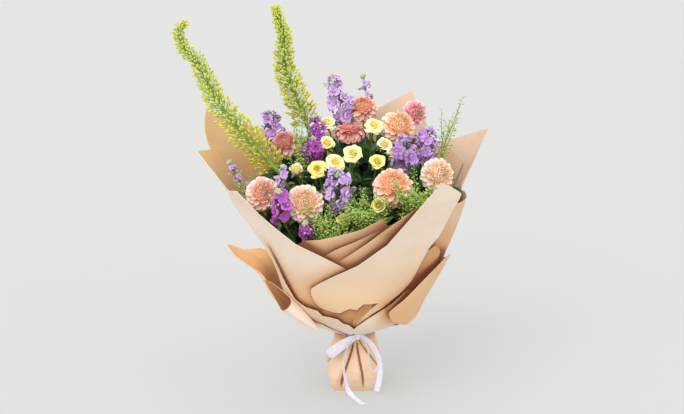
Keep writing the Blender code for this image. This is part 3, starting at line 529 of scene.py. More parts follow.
def petal_dahlia(node, axis, finish, slot, petals, eye, depth, open_by, droop, seed):
    """A full dahlia: cupped petals in a golden spiral over a ball.

    A petal's size is HEART_SIZE at the heart and 1 from FULL_TILT outwards, and the petals stand as
    far apart as they are wide: the share of them within a tilt is the sum of sin(tilt) / size^2.
    Petals of the heart bend in over it, those of the rim bend out and back.
    """
    radius, put = head_frame(node, axis, 1.03)
    dice = np.random.default_rng(seed)
    i = np.arange(petals)
    age = (i + 0.5) / petals
    spread = np.linspace(0.03, LAST_TILT, 400)
    size = HEART_SIZE + (1 - HEART_SIZE) * smooth(spread / FULL_TILT)
    crowd = np.cumsum(np.sin(spread) / size**2)
    tilt = np.interp(age, crowd / crowd[-1], spread)
    size = np.interp(tilt, spread, size)
    turn = GOLDEN * i + dice.normal(0, 0.07, petals)
    tilt = tilt + dice.normal(0, 0.05, petals) * size
    out = polar(np.sin(tilt), turn, np.cos(tilt))
    luck = dice.uniform(-0.5, 0.5, petals)
    rim = smooth((tilt - 0.25) / 1.1)
    reach = radius * (1.0 - 0.20 * np.exp(-((tilt / 0.45) ** 2)) + 0.07 * luck * size)
    long = radius * (0.24 + (0.38 + open_by) * rim)
    gap = 2 * math.sqrt(math.pi / petals)
    wide = each(radius * gap * (0.46 + 0.22 * size) * size * (1 + 0.14 * luck))
    bend_all = each(0.85 - (1.45 + droop) * rim + 0.25 * luck)
    cup_all = each(1.35 - 0.55 * rim + 0.2 * luck)
    shape, along, across = blades(
        long, lambda u: wide * (0.36 + 0.64 * smooth(u / 0.60)) * (1 - u**3.4) ** 0.52,
        lambda u: cup_all * (1.08 - 0.30 * u), lambda u: bend_all * u * (0.4 + u), 10, 7,
        ruffle=0.05 * wide, waves=1.5, chances=each(luck),
    )
    point = out * reach[:, None]
    point[:, 2] *= depth
    up, rim_all = np.array([0, 0, 1.0]), rim[:, None]
    lean = unit(out + 0.22 * up * (1 - rim_all) - 0.4 * droop * up * rim_all)
    root = point - lean * long[:, None] * 0.93
    inner = np.where(tilt[:, None] < 0.25, -out * np.array([1, 1, 0]), 0)
    inner = inner + up + 0.001 * out[:, [1, 0, 2]]
    pile = Pile()
    marks = (along, across, each(luck) + 0.5, each(rim * 0.75 + 0.25 * age))
    pile.add(put(set_blades(shape, root, lean, inner)), marks)
    pile.add(put(heart_ball(0.62 * radius, depth, 16, 11)), (0.0, 0.0, 0.2, 0.5), True)
    if eye:
        points, age_eye = eye_dome(eye * radius, 46)
        pile.add(put(points + radius * depth * 0.70 * up), (0.5, 0.0, age_eye, 0.0), True, 1)
    pile.mesh("petals_of_" + node, [finish, GREENS["dahlia_eye"]], slot, node)


def heart_ball(radius, depth, sides, rings):
    """The hidden heart of a head: a ball flattened to a depth, as one closed grid."""
    t = np.linspace(1e-3, math.pi - 1e-3, rings)[:, None]
    return radius * polar(np.sin(t), circle(sides), depth * np.cos(t))[None, ::-1]


def eye_dome(radius, count):
    """Small closed buds set in a golden spiral over a low dome, with the age of each."""
    i = np.arange(count)
    share = np.sqrt((i + 0.5) / count)
    root = polar(share, GOLDEN * i, -0.45 * share**2) * radius
    tip = root + unit(polar(share, GOLDEN * i, 1.1)) * radius * 0.55
    return buds(root, tip, radius * (0.10 + 0.05 * share)), each(share)


# ---- Spray roses -----------------------------------------------------------------------------


def petal_rose(node, axis, finish, slot, openness, petals, eye, seed):
    """A spray rose: petals wrapped round each other, more open from the heart outwards.

    Petal i of n, at a share s, rises from a narrow foot to a rim at the radius R * (0.10 + 0.88 *
    s^0.85). The heart's petals rise as cups, foot + (rim - foot) * sin(pi / 2 * u)^0.8 at a share u
    of their way, and the outer ones lean out by u^1.35 and level off by sin(pi / 2 * u)^0.9. A
    petal spans an arc of 2.3 either way at the heart and 0.85 at the outside, and one side of it
    lies further out than the other.
    """
    radius, put = head_frame(node, axis, 1.04)
    dice = np.random.default_rng(seed)
    i = np.arange(petals)
    s = each((i + 0.2) / (petals - 0.8))
    luck = each(dice.uniform(-0.5, 0.5, petals))
    turn = each(GOLDEN * i) + luck * 0.5
    u = (1 - (1 - np.linspace(0, 1, 13)) ** 1.25)[None, :, None]
    a = np.linspace(-1, 1, 11)[None, None, :]
    opened = (0.25 + 0.75 * openness) * smooth((s + 0.10) / 0.90)
    rim = radius * (0.10 + (0.66 + 0.22 * openness) * s**0.85)
    foot = radius * (0.05 + 0.16 * s)
    side = 1 - 0.26 * np.abs(a) ** 2.6 * (0.35 + 0.65 * s)
    tall = radius * (1.22 - 0.06 * s - 0.50 * openness * s**1.5 + 0.10 * luck)
    cup = np.sin(math.pi / 2 * np.minimum(u * 1.05, 1)) ** 0.8
    past = np.clip((u - 0.70) / 0.30, 0, 1)
    ring = foot + (rim - foot) * ((1 - opened) * cup + opened * u**1.35)
    ripple = (0.03 + 0.06 * opened) * np.sin(4.2 * a + 30 * luck) * past
    ring = ring + radius * (0.05 * a + ripple + opened * (0.10 + 0.12 * luck) * past**2)
    level = np.sin(math.pi / 2 * u) ** 0.9
    height = tall * ((1 - opened) * u + opened * level) * side - 0.74 * radius
    height = height - radius * opened * (0.14 + 0.14 * luck) * past**2.5
    height = height + 0.06 * radius * np.sin(5 * a + 20 * luck) * past * (0.4 + opened)
    angle = turn + (2.3 - 1.45 * s**0.7) * (1 - 0.30 * (1 - u) * s) * a
    up = np.array([0, 0, radius])
    pile = Pile()
    pile.add(put(polar(ring, angle, height)), (u, a, luck + 0.5, s))
    pile.add(put(heart_ball(0.40 * radius, 0.9, 12, 9) - 0.20 * up), (0.0, 0.0, 0.5, 0.0), True)
    if eye:
        dome, age_eye = eye_dome(eye * radius, 40)
        pile.add(put(dome + 0.20 * up), (0.5, 0.0, age_eye, 0.0), True, 1)
    for points, marks, closed in calyx(radius, 1.5 * radius):
        pile.add(put(points), marks, closed, 2)
    pile.mesh("petals_of_" + node, [finish, GREENS["rose_eye"], GREENS["calyx"]], slot, node)


def calyx(radius, tall):
    """The green cup under a rose, and its five sepals that curl back: the points and marks of
    each, and whether it is closed."""
    t = np.linspace(0, 1, 6)[:, None]
    wide = radius * (0.06 + 0.34 * np.sin(math.pi / 2 * t) ** 1.5)
    cup = polar(wide, circle(10), -0.62 * tall + 0.20 * tall * t)
    yield cup[None], (0.3, 0.9, 0.5, 0.5), True
    out = polar(1, circle(5) + 0.3, 0.15)
    leaf, along, across = blades(
        np.full(5, 0.85 * radius),
        lambda u: 0.20 * radius * np.sin(math.pi * np.clip(u, 0.06, 1) ** 0.6),
        lambda u: 0.5 + 0 * u, lambda u: 0.9 - 2.0 * u, 7, 3,
    )
    root = out * np.array([1, 1, 0]) * 0.30 * radius + np.array([0, 0, -0.46 * tall])
    sepals = set_blades(leaf, root, out, np.array([0.0, 0.01, 1.0]))
    yield sepals, (along, across, 0.4, 0.5), False


# ---- Stocks ----------------------------------------------------------------------------------

TOP_BUDS = 12
STEM_MARKS = (0.5, 0.9, 0.4, 0.5)


def floret_petals(place, way, size, pile, dice):
    """Ruffled florets: two whorls of four notched petals that open from the throat."""
    n = len(place)
    side, out, up = basis(way, np.array([0.21, 0.05, 1.0]))
    spin = dice.uniform(0, 2 * math.pi, n)[:, None]
    for small, opening, age in ((1.0, 0.02, 0.35), (0.62, 0.80, 0.85)):
        turn = spin + np.arange(4)[None] * math.pi / 2 + dice.normal(0, 0.10, (n, 4))
        ray = rays(turn, side[:, None], up[:, None]).reshape(-1, 3)
        axis = np.repeat(out, 4, 0)
        luck = dice.uniform(0, 1, 4 * n)
        long = np.repeat(size, 4) * small * (1.22 + 0.35 * (luck - 0.5))
        chance, open_to, wide = each(luck), each(opening + 0.55 * luck), each(0.52 * long)
        shape, along, across = blades(
            long, lambda u: wide * (0.20 + 0.80 * smooth(u / 0.75)) * (1 - u**7) ** 0.45,
            lambda u: 0.35 + 0.25 * chance + 0 * u,
            lambda u: open_to + (1.15 - open_to) * (1 - smooth(u / 0.45)) - 0.45 * u**2,
            7, 7, each(0.17 * long), 1.9, 0.13, chance,
        )
        root = np.repeat(place, 4, 0) - axis * (0.25 * long)[:, None]
        pile.add(set_blades(shape, root, ray, axis), (along, across, chance, age))
        spin = spin + math.pi / 4
    back = out * size[:, None]
    throat = buds(place - back * 0.95, place - back * 0.05, 0.16 * size, 5, 0.7)
    pile.add(throat, (0.2, 0.9, 0.4, 0.5), True, 1)


def petal_stock(node, foot, tip, spread, count, finish, slot, seed):
    """A stock's spike: florets in a golden spiral round it, buds between them and at its tip.

    At a share t of the spike the florets' faces reach spread * sqrt(1 - (1.5 * t - 0.6)^2 / 1.3),
    each drawn in by a chance of its own, and they nod to all sides.
    """
    dice = np.random.default_rng(seed)
    way = unit(tip - foot)
    side, _, up = basis(way, np.array([0.3, 0.8, 0.1]))
    i = np.arange(count)
    share = np.clip((i + 0.5) / count + dice.normal(0, 0.03, count), 0, 1)
    ray = rays(GOLDEN * i + seed + dice.normal(0, 0.30, count), side, up)
    lean = unit(ray + (1.7 * share - 0.4)[:, None] * way + dice.normal(0, 0.18, (count, 3)))
    reach = spread * np.sqrt(1 - (1.5 * share - 0.6) ** 2 / 1.3) * dice.uniform(0.62, 1.04, count)
    size = (0.42 * spread + 0.0028) * dice.uniform(0.80, 1.18, count)
    size = size * (1 - 0.35 * smooth((share - 0.55) / 0.45))
    middle = foot + (tip - foot) * share[:, None]
    place = middle + lean * (reach - 0.3 * size)[:, None]
    pile = Pile()
    floret_petals(place, unit(lean + dice.normal(0, 0.36, (count, 3))), size, pile, dice)
    stalks = [middle, middle + lean * (0.5 * reach)[:, None], place - lean * size[:, None]]
    pile.add(tubes(np.stack(stalks, 1), 0.0008, 4), (0.5, 0.9, 0.3, 0.5), True, 2)
    stem = spline([foot - way * 0.012, (foot + tip) / 2, tip + way * 0.4 * spread], 9)[None]
    pile.add(tubes(stem, np.linspace(0.0022, 0.0010, 9)[None]), STEM_MARKS, True, 2)
    k = np.arange(TOP_BUDS + count // 2)
    t = np.minimum(k / TOP_BUDS, 1)
    ray = rays(GOLDEN * k, side, up)
    root = tip + way * (0.45 * spread * t)[:, None]
    lean = unit(0.9 * ray * (1 - t)[:, None] + way)
    long = 0.011 - 0.005 * t
    rest = k >= TOP_BUDS
    share = dice.uniform(0.1, 0.95, len(k))
    root[rest] = (foot + (tip - foot) * share[:, None] + ray * 0.70 * spread)[rest]
    lean[rest] = unit(ray + 0.8 * way)[rest]
    long[rest] = 0.009
    ends = buds(root, root + lean * long[:, None], 0.26 * long, 6)
    pile.add(ends, (0.7, 0.9, 0.5, each(t)), True, 1)
    pile.mesh("florets_of_" + node, [finish, GREENS["stock_buds"], GREENS["stems"]], slot, node)


# ---- Foxtail lilies --------------------------------------------------------------------------


def petal_foxtail(node, way_points, spread, count, slot, seed):
    """A foxtail lily: plump buds on stalks in a golden spiral round a tapering axis.

    At a share t of the axis a bud's tip reaches 1.3 * spread * (1 - 0.58 * t^2), and it rises by an
    angle of 0.36 + 0.50 * t. Every third bud sits further in, so that the spike is filled.
    """
    dice = np.random.default_rng(seed)
    axis = spline(way_points, 60)
    steps = np.concatenate([[0], np.cumsum(np.linalg.norm(np.diff(axis, axis=0), axis=1))])
    i = np.arange(count)
    share = 0.005 + 0.99 * (i / count) ** 0.88
    slope = unit(np.gradient(axis, axis=0))
    middle, way = (np.stack([np.interp(share * steps[-1], steps, v) for v in line.T], -1)
                   for line in (axis, slope))
    way = unit(way)
    side, _, up = basis(way, np.array([0.1, 0.9, 0.2]))
    ray = rays(GOLDEN * i + dice.normal(0, 0.15, count), side, up)
    rise = 0.36 + 0.50 * share + dice.normal(0, 0.12, count)
    lean = unit(ray * np.cos(rise)[:, None] + way * np.sin(rise)[:, None])
    inner = np.where(i % 3 == 0, 0.74, 1.0)
    long = 1.30 * spread * (1 - 0.58 * share**2.0) * dice.uniform(0.82, 1.06, count) * inner
    bud = np.maximum(0.36 * long, 0.0075) * dice.uniform(0.85, 1.1, count)
    root = middle + lean * (long - bud)[:, None]
    end = root + unit(lean + way * 0.30) * bud[:, None]
    wide = (0.0024 - 0.0008 * share) * dice.uniform(0.82, 1.15, count)
    luck, age = each(dice.uniform(0, 1, count)), each(share)
    pile = Pile()
    t = np.linspace(0, 1, 6)[None, :, None]
    pile.add(buds(root, end, wide, 5, 0.60), (t, 0.0, luck, age), True)
    pile.add(tubes(np.stack([middle, root], 1), 0.00042, 3), (0.1, 0.9, luck, age), True, 1)
    stem = tubes(axis[None], np.linspace(0.0046, 0.0012, 60)[None], 8)
    pile.add(stem, (0.5, 0.9, 0.5, 0.5), True, 1)
    pile.mesh("florets_of_" + node, [FOXTAIL_BUD, GREENS["foxtail_stems"]], slot, node)


# ---- Seed sprays -----------------------------------------------------------------------------


def seed_spray(node, foot, tip, spread, branches, pods, wide, slot, seed):
    """A seed spray: side stems that fan out of a stem, with round pods on short stalks round them.

    Side stem j of n leaves at a share 0.8 * j / n of the stem, in a golden spiral, and arches up.
    Along it the pods stand in a golden spiral of their own, nearer to it towards its tip. Wide
    stretches the fan sideways.
    """
    dice = np.random.default_rng(seed)
    way = unit(tip - foot)
    side, _, up = basis(way, np.array([0.3, 0.8, 0.1]))
    j = np.arange(branches)
    ray = rays(GOLDEN * j + seed, side, up)
    start = foot + (tip - foot) * (0.02 + 0.80 * j / branches)[:, None]
    stretch = np.linalg.norm(tip - foot) * dice.uniform(0.50, 1.02, branches)[:, None]
    ray = (ray + dice.normal(0, 0.18, (branches, 3))) * np.array([wide, 1.0, 1.0])
    part = dice.uniform(0.55, 1.05, branches)[:, None]
    knee = start + (0.55 * part * spread * ray + 0.26 * stretch * way)
    end = knee + (0.42 * part * spread * ray + 0.58 * stretch * way)
    bent = bezier(np.stack([start, (start + knee) / 2, knee, end], 1), 10)
    ways = np.concatenate([bent, spline([foot, (foot + tip) / 2, tip], 10)[None]])
    pile = Pile()
    pile.add(tubes(ways, np.linspace(0.0011, 0.0005, 10)[None], 4), STEM_MARKS, True, 1)
    k = np.arange(pods)
    share = 0.16 + 0.84 * (k + 0.5) / pods
    spot = share * 9
    low = np.minimum(spot.astype(int), 8)
    part = (spot - low)[None, :, None]
    base = ways[:, low] * (1 - part) + ways[:, low + 1] * part
    slope = unit(ways[:, low + 1] - ways[:, low])
    side, _, up = basis(slope, np.array([0.3, 0.1, 0.9]))
    turn = (GOLDEN * k)[None] + dice.uniform(0, 6, (len(ways), 1))
    ray = rays(turn, side, up)
    size = np.tile(0.0027 - 0.0010 * share**2, len(ways))
    share = share[None, :, None]
    lean = unit(ray + (0.25 + 0.7 * share) * slope + dice.normal(0, 0.15, ray.shape))
    head = base + lean * ((0.0090 - 0.0048 * share) * dice.uniform(0.7, 1.25, (*turn.shape, 1)))
    base, head, lean = (v.reshape(-1, 3) for v in (base, head, lean))
    luck = each(dice.uniform(0, 1, len(base)))
    pile.add(tubes(np.stack([base, head], 1), 0.00028, 3), (0.2, 0.9, luck, 0.5), True, 1)
    size = size * dice.uniform(0.75, 1.15, len(base))
    pile.add(pod_discs(head, lean, size), (0.8, 0.9, luck, 0.5), True)
    pile.tuck_in()
    pile.mesh("pods_of_" + node, [GREENS["pods"], GREENS["pod_stalks"]], slot, node)


def pod_discs(place, way, size):
    """Flat round pods: five rings over a disc whose half thickness is 0.5 of its radius."""
    side, out, up = (v[:, None, None] for v in basis(way, np.array([0.2, 0.5, 0.8])))
    t = np.linspace(0.02, math.pi - 0.02, 5)[None, :, None, None]
    flat = np.sin(t) * rays(circle(6), out, side) + 0.5 * np.cos(t) * up
    return (place + way * size[:, None])[:, None, None] + size[:, None, None, None] * flat


# ---- Stems and leaves ------------------------------------------------------------------------

STEM_R = {"dahlia": 0.0029, "rose": 0.0017, "stock": 0.0023, "foxtail": 0.0040, "seeds": 0.0014}
BUNDLE_R, SPLAY, SPIRAL, STEM_END = 0.0215, 1.38, 1.2, 0.004
TIP_LEAF, TIP_LEAF_WIDE, LEAF_ROWS = 0.056, 0.032, 15
CROWN_X, CROWN_Y, CROWN_SHIFT = 0.215, 0.128, -0.012
# leaves, reach below the canopy, length, width over length, saw, finish, spread, rise, set back
LEAVES = (
    (230, (0.024, 0.080), (0.045, 0.068), 0.44, 0.10, 0, 0.05, 0.16, 0.000),
    (150, (0.060, 0.130), (0.050, 0.070), 0.46, 0.10, 0, 0.30, 0.16, 0.000),
    (420, (0.026, 0.110), (0.020, 0.034), 0.38, 0.00, 2, 0.60, 0.60, 0.000),
    (110, (0.018, 0.070), (0.045, 0.066), 0.46, 0.10, 0, 0.20, 0.30, 0.070),
)


def stem_ways(seats):
    """The way of each stem: a Bezier from its head's back to the bundle's top, then straight
    through the tie, where the stems cross in a spiral, down to the foot."""
    seat, way, kind = zip(*seats)
    seat, way = np.array(seat, float), unit(np.array(way, float))
    flat = seat[:, :2] * np.array([1.0, 1.5])
    order = np.argsort(np.argsort(np.linalg.norm(flat, axis=1)))
    ring = BUNDLE_R * np.sqrt((order + 0.5) / len(seat))
    turn = np.arctan2(flat[:, 1], flat[:, 0]) + 0.5
    tie = polar(ring, turn, TIE_Z)
    foot = polar(SPLAY * ring, turn + SPIRAL, STEM_END)
    back = seat - way * 0.045 - np.array([0, 0, 0.015])
    upper = bezier(np.stack([seat, back, tie + unit(tie - foot) * 0.16, tie], 1), 18)
    lower = tie[:, None] + (foot - tie)[:, None] * np.linspace(0, 1, 5)[None, 1:, None]
    radii = np.array([STEM_R[k] for k in kind])[:, None] * np.linspace(0.92, 1.08, 22)[None]
    return np.concatenate([upper, lower], 1), radii


def leaf_blades(tip, way, long, wide, pile, dice, saw=0.10, kind=0):
    """Saw-edged leaves that end at their tips: half(u) = wide / 2 * sin(pi * u^0.75), with every
    other point of the edge drawn in."""
    luck = dice.uniform(0, 1, len(tip))
    teeth = (1 - saw * (np.arange(LEAF_ROWS) % 2))[None, :, None]
    width, turn = each(wide) / 2, each(0.5 * (luck - 0.5) - 0.5)
    shape, along, across = blades(
        long, lambda u: width * (np.sin(math.pi * u**0.75) + 0.03) * teeth, lambda u: 0.45 + 0 * u,
        lambda u: turn * u + 0.3, LEAF_ROWS, 5, ruffle=0.04 * width, waves=1.0,
        chances=each(luck),
    )
    near = np.array([0.0, -0.45, 1.0]) + dice.normal(0, 0.25, tip.shape)
    root = tip - unit(way) * np.reshape(long, (-1, 1)) * 0.93
    pile.add(set_blades(shape, root, way, near), (along, across, each(luck), 0.5), kind=kind)


def canopy(x, y):
    """The height of the heads over a spot in the bouquet."""
    return 0.487 + 0.56 * y - 0.9 * np.abs(x) ** 2


def stems_and_leaves(seats):
    """All stems in one hand-tied bundle, with rose leaves near the heads, and smaller ones."""
    dice = np.random.default_rng(7)
    pile = Pile()
    pile.add(tubes(*stem_ways(seats), 7), STEM_MARKS, True, 1)
    tips = metres(LEAF_TIPS)
    out = unit(tips - np.array([0.0, 0.03, 0.38]))
    all_tips = np.ones(len(tips))
    leaf_blades(tips, out, TIP_LEAF * all_tips, TIP_LEAF_WIDE * all_tips, pile, dice)
    for n, under, sizes, broad, saw, kind, spread, rise, back in LEAVES:
        place = np.sqrt(dice.uniform(0.0, 1, n))
        turn = dice.uniform(0, 2 * math.pi, n)
        x = CROWN_X * place * np.cos(turn) * (1 - 3 * back)
        y = (CROWN_Y - 1.3 * back) * place * np.sin(turn) + CROWN_SHIFT + back
        tip = np.stack([x, y, canopy(x, y) - dice.uniform(*under, n)], -1)
        way = np.stack([x * 1.5, y * 1.5 - 0.05, np.full(n, rise)], -1)
        way = unit(way + dice.normal(0, spread, (n, 3)))
        long = dice.uniform(*sizes, n)
        leaf_blades(tip, way, long, broad * long, pile, dice, saw, kind)
    pile.tuck_in()
    finishes = [GREENS["rose_leaves"], GREENS["stems"], GREENS["small_leaves"]]
    pile.mesh("stems_and_foliage", finishes, "foliage", "stems_and_leaves")


# ---- Paper -----------------------------------------------------------------------------------

# the colours of the painted shade on the paper: orange, then deep brown where it lies deepest
PAINTED_SHADE_ORANGE, PAINTED_SHADE_BROWN = 0xDEA66E, 0x86461E
DEGREE, RADIAN = 0.0028, 0.16  # a degree's length round the funnel, and a radian's on a sheet
COLLARS_FROM, BELLY, HOLLOW = 4.5, (0.178, 0.026), (0.255, 0.038)
# the share and reach of the painted shade beside an edge, near and far
SHADES = ((0.36, 0.006), (0.52, 0.022))
OUTLINE_STEP, CURL_FROM, OWN_WAVE = 0.0025, 0.55, 0.0006
SHEET_ROWS, SHEET_STEP, SHEET_LENGTH, INNER_SHADE = 38, 1.1, 0.2, 0.3


def shared_folds(angle, z):
    """How far out the paper lies over its folds: pleats that fan out of the tie and fade upwards,
    and broad soft waves. All sheets follow them, so that they stay side by side."""
    rise = np.maximum(z - TIE_Z, 0)
    pleat = np.abs(np.sin(8.5 * angle + 1.2 * np.sin(3 * angle))) ** 0.8
    near = 0.0042 * smooth(rise / 0.025) * np.exp(-rise / 0.060)
    wave = 0.0020 * np.sin(4 * angle + 9 * rise) + 0.0014 * np.sin(7 * angle - 14 * rise + 1.0)
    return near * (pleat - 0.5) + wave * smooth(rise / 0.10)


def sheet_table(rows):
    """The rows of a part of a sheet in full: angle, high and low edge, flare, roll and belly."""
    angle, high, flare, roll, belly, low = np.array([(*row, 0, 0, 0, 0)[:5] + (
        row[5] if len(row) > 5 else TIE_Z * 1000,) for row in rows], float).T
    return angle, high / 1000, low / 1000, flare / 1000, roll / 10, belly / 1000


def sheet_points(layer, rows):
    """A sheet over the funnel, as (columns, rows, 3), with each point's angle, height and share.

    A point at an angle and a share s of the way from the low to the high edge lies on the funnel's
    line, moved out along its normal by the layer's and the flare's measure, and in by the waist,
    but for the outermost layer. A collar's belly adds belly * exp(-((z - middle) / reach)^2), by
    the numbers of BELLY, or where it is a hollow, less than none, by those of HOLLOW. Towards the
    high edge the line is turned outwards by roll * t^1.6, at a share t from CURL_FROM on, step by
    step, so that the edge curls. The section is flattened from front to back.
    """
    table = sheet_table(rows)
    corners = table[0]
    angle = [np.linspace(a, b, max(3, int(abs(b - a) / SHEET_STEP)), endpoint=False)
             for a, b in zip(corners[:-1], corners[1:])]
    angle = np.concatenate([*angle, corners[-1:]])
    high, low, flare, roll, belly = (np.interp(angle, corners, v)[:, None] for v in table[1:])
    s = np.linspace(0, 1, SHEET_ROWS)[None]
    z = low + (high - low) * s
    radius, slope = funnel_line(z)
    rise = np.maximum(z - BELL_Z, 0)
    lift = smooth(rise / COLLAR_REACH) if layer > COLLARS_FROM else (rise / FLARE_REACH) ** 2
    turn = np.radians(angle)[:, None]
    out = layer * (LAYER + LAYER_GROWTH * smooth(rise / GROWTH_REACH)) + flare * lift
    bells = (np.exp(-(((z - middle) / reach) ** 2)) for middle, reach in (HOLLOW, BELLY))
    out = out + belly * np.where(belly < 0, *bells)
    out = out + shared_folds(turn, z) - (0 if layer >= 6 else 1) * waist(turn, z)
    out = out + OWN_WAVE * np.sin(turn * 6 + 40 * z + layer) * s**2
    steep = np.sqrt(1 + slope**2)
    r, h = radius + out / steep, z - out * slope / steep
    bend = roll * np.clip((s - CURL_FROM) / (1 - CURL_FROM), 0, 1) ** 1.6
    dr, dh = np.diff(r, axis=1), np.diff(h, axis=1)
    mid = (bend[:, 1:] + bend[:, :-1]) / 2
    r = np.concatenate([r[:, :1], r[:, :1] + np.cumsum(dr * np.cos(mid) + dh * np.sin(mid), 1)], 1)
    h = np.concatenate([h[:, :1], h[:, :1] + np.cumsum(dh * np.cos(mid) - dr * np.sin(mid), 1)], 1)
    x, y = r * np.cos(turn), r * np.sin(turn)
    return np.stack([x, y * flattened(y, z), h], -1), *np.broadcast_arrays(turn, z, s)


def grid_normals(points):
    """The normals of a grid, from its neighbours along columns and rows."""
    return unit(np.cross(np.gradient(points, axis=0), np.gradient(points, axis=1)))


def paper_pile(pile, points, marks, inner_marks, kinds=(0, 1)):
    """Adds a sheet with both its sides and its four edges: the outer side stands out by PAPER."""
    outer = points + grid_normals(points) * PAPER
    pile.add(outer[None], [m[None] for m in marks], kind=kinds[0])
    pile.add(points[None], [m[None] for m in inner_marks], kind=kinds[1], flip=True)
    for take, turned in ((0, False), (-1, True), (np.s_[:, 0], True), (np.s_[:, -1], False)):
        edge = np.stack([points[take], outer[take]])
        edge_marks = [np.stack([m[take], m[take]])[None] for m in marks]
        pile.add(edge[None], edge_marks, kind=kinds[0], flip=turned)


def scroll_points(mouth, root):
    """A paper cone from a mouth, a closed loop of points, to a root: each line from root to mouth
    swells by sin(pi * share), and the root is the mouth's loop at a fifth of its size."""
    loop = spline(np.concatenate([mouth, mouth[:1]]), 90)
    middle = loop.mean(0)
    narrow = root + (loop - middle) * 0.20
    share = np.linspace(0, 1, 30)[None, :, None]
    swell = unit(loop - middle)[:, None] * 0.0035 * np.sin(math.pi * share)
    return narrow[:, None] * (1 - share) + loop[:, None] * share + swell


def outline(layer, rows):
    """The outline of a part of a sheet, round the funnel and up, at every OUTLINE_STEP, with its
    low and high edges. A flared collar's high edge counts as 0.9 of its flare lower: it stands
    away there."""
    angle, high, low, flare = sheet_table(rows)[:4]
    high = np.maximum(high - (0.9 * np.maximum(flare, 0) if layer > COLLARS_FROM else 0), low)
    corners = np.concatenate([np.stack([angle, low], -1), np.stack([angle, high], -1)[::-1]])
    line = []
    for start, end in zip(corners, np.roll(corners, -1, 0)):
        length = math.hypot((end[0] - start[0]) * DEGREE, end[1] - start[1])
        share = np.linspace(0, 1, max(2, int(length / OUTLINE_STEP)), endpoint=False)[:, None]
        line.append(start * (1 - share) + end * share)
    return np.concatenate(line), angle, low, high


def painted_cover_shade(layer, turn, z):
    """The painted shade of a place, for how deep it lies under the outer sheets: 1 below them, and
    beside each of them, at the distance d from its nearest edge, the sum of share * exp(-d / reach)
    over SHADES of what is left."""
    degrees = np.degrees(turn)
    shade = np.zeros(z.shape)
    for other, _, rows in (part for _, _, parts in SHEETS for part in parts):
        if other < layer + 0.5:
            continue
        line, angle, low, high = outline(other, rows)
        for here in (degrees - 360, degrees, degrees + 360):
            if here.max() < angle[0] - 12 or here.min() > angle[-1] + 12:
                continue
            bottom, top = np.interp(here, angle, low), np.interp(here, angle, high)
            under = (here > angle[0]) & (here < angle[-1]) & (z > bottom) & (z < top)
            gaps = np.hypot((here[..., None] - line[:, 0]) * DEGREE, z[..., None] - line[:, 1])
            gap = gaps.min(-1)
            beside = sum(share * np.exp(-gap / reach) for share, reach in SHADES)
            shade = 1 - (1 - shade) * (1 - np.where(under, 1.0, beside))
    return shade


def paper_sheet(name, finishes, parts):
    """One sheet of the wrapper with its folded-over parts and its edges. Its marks are the length
    along it and the height in metres, painted shade for how deep it lies, and the distance to its
    edge."""
    pile = Pile()
    for layer, kinds, rows in parts:
        points, turn, z, s = sheet_points(layer, rows)
        # hidden is the painted shade from the outer sheets; the inner side takes less of it
        edge, hidden = np.minimum(1 - s, s) * SHEET_LENGTH, painted_cover_shade(layer, turn, z)
        along = turn * RADIAN + 1.7 * layer
        inner_marks = (along, z, hidden * INNER_SHADE, edge)
        paper_pile(pile, points, (along, z, hidden, edge), inner_marks, kinds)
    if name in SCROLLS:
        points = scroll_points(*map(metres, SCROLLS[name]))
        around = np.linspace(0, 0.1, len(points))[:, None]
        share = np.linspace(0, 1, points.shape[1])[None]
        around, share = np.broadcast_arrays(around, share)
        height, edge = 0.12 + 0.05 * share, (1 - share) * 0.1
        # painted shade inside the scroll's cone, none on its outside
        paper_pile(pile, points, (around, height, 0.0 * share, edge),
                   (around, height, 0.95 - 0.2 * share, edge))
    pile.mesh(name + "_sheet", finishes, "kraft_paper", name, sharp=60)


POUCH_HEIGHTS = (0.0, 0.012, 0.030, 0.050, 0.062, 0.085, 0.104, 0.120)
POUCH_RADII = (0.0460, 0.0525, 0.0575, 0.0580, 0.0560, 0.0480, 0.0420, 0.0405)
POUCH_TOP, KNOT_Z, WALL_R, POUCH_PAPER = 0.118, 0.1235, 0.052, 0.0008
POUCH_COLUMNS, POUCH_ROWS = 289, 44
FOLD_DEPTH, CROSS_DEPTH, NECK_DEPTH = 0.0085, 0.0026, 0.0010
# the angles round a knot, in degrees, and how far up over its fold the wall is there
FOLD_ANGLES = (-90, -50, -46, -19, -15, 5, 10, 33, 37, 68, 90)
FOLD_HEIGHTS = (0.35, 1.0, 0.1, 0.9, 0.0, 0.85, 0.0, 1.0, 0.1, 0.9, 0.35)


def foot_points(turn, z):
    """The pouch: a rounded square at its base, round and wide at its belly, drawn in at its neck.

    Its folds fan out of the knots in front and behind: by the angle phi round the nearer knot, seen
    on the wall, the wall rises slowly over a fold and falls back steeply under the next.
    """
    body = np.interp(z, POUCH_HEIGHTS, POUCH_RADII)
    front = (turn + math.pi) % (2 * math.pi) - math.pi + math.pi / 2
    behind = np.abs(front) > math.pi / 2
    front = np.where(behind, np.sign(front) * math.pi - front, front)
    phi = np.degrees(np.arctan2(WALL_R * front, KNOT_Z - z))
    fold = np.interp(phi, FOLD_ANGLES, FOLD_HEIGHTS)
    cross = 1 - np.abs(np.sin(2 * turn - 26 * z + 0.8))
    height = (0.30 + 0.70 * smooth(z / 0.030)) * smooth((POUCH_TOP - z) / 0.030)
    out = FOLD_DEPTH * height * (fold - 0.60) + CROSS_DEPTH * height * (cross - 0.5)
    neck = NECK_DEPTH * np.sin(15 * turn) * smooth((z - 0.085) / 0.02)
    round_by = smooth(z / 0.055)
    power, deep = 4.6 - 2.6 * round_by, 0.86 + 0.14 * round_by
    c, s = np.abs(np.cos(turn)) + 1e-6, np.abs(np.sin(turn)) / deep + 1e-6
    square = (c**power + s**power) ** (-1 / power)
    return polar(body * np.minimum(square, 1.13) + out + neck, turn, z)


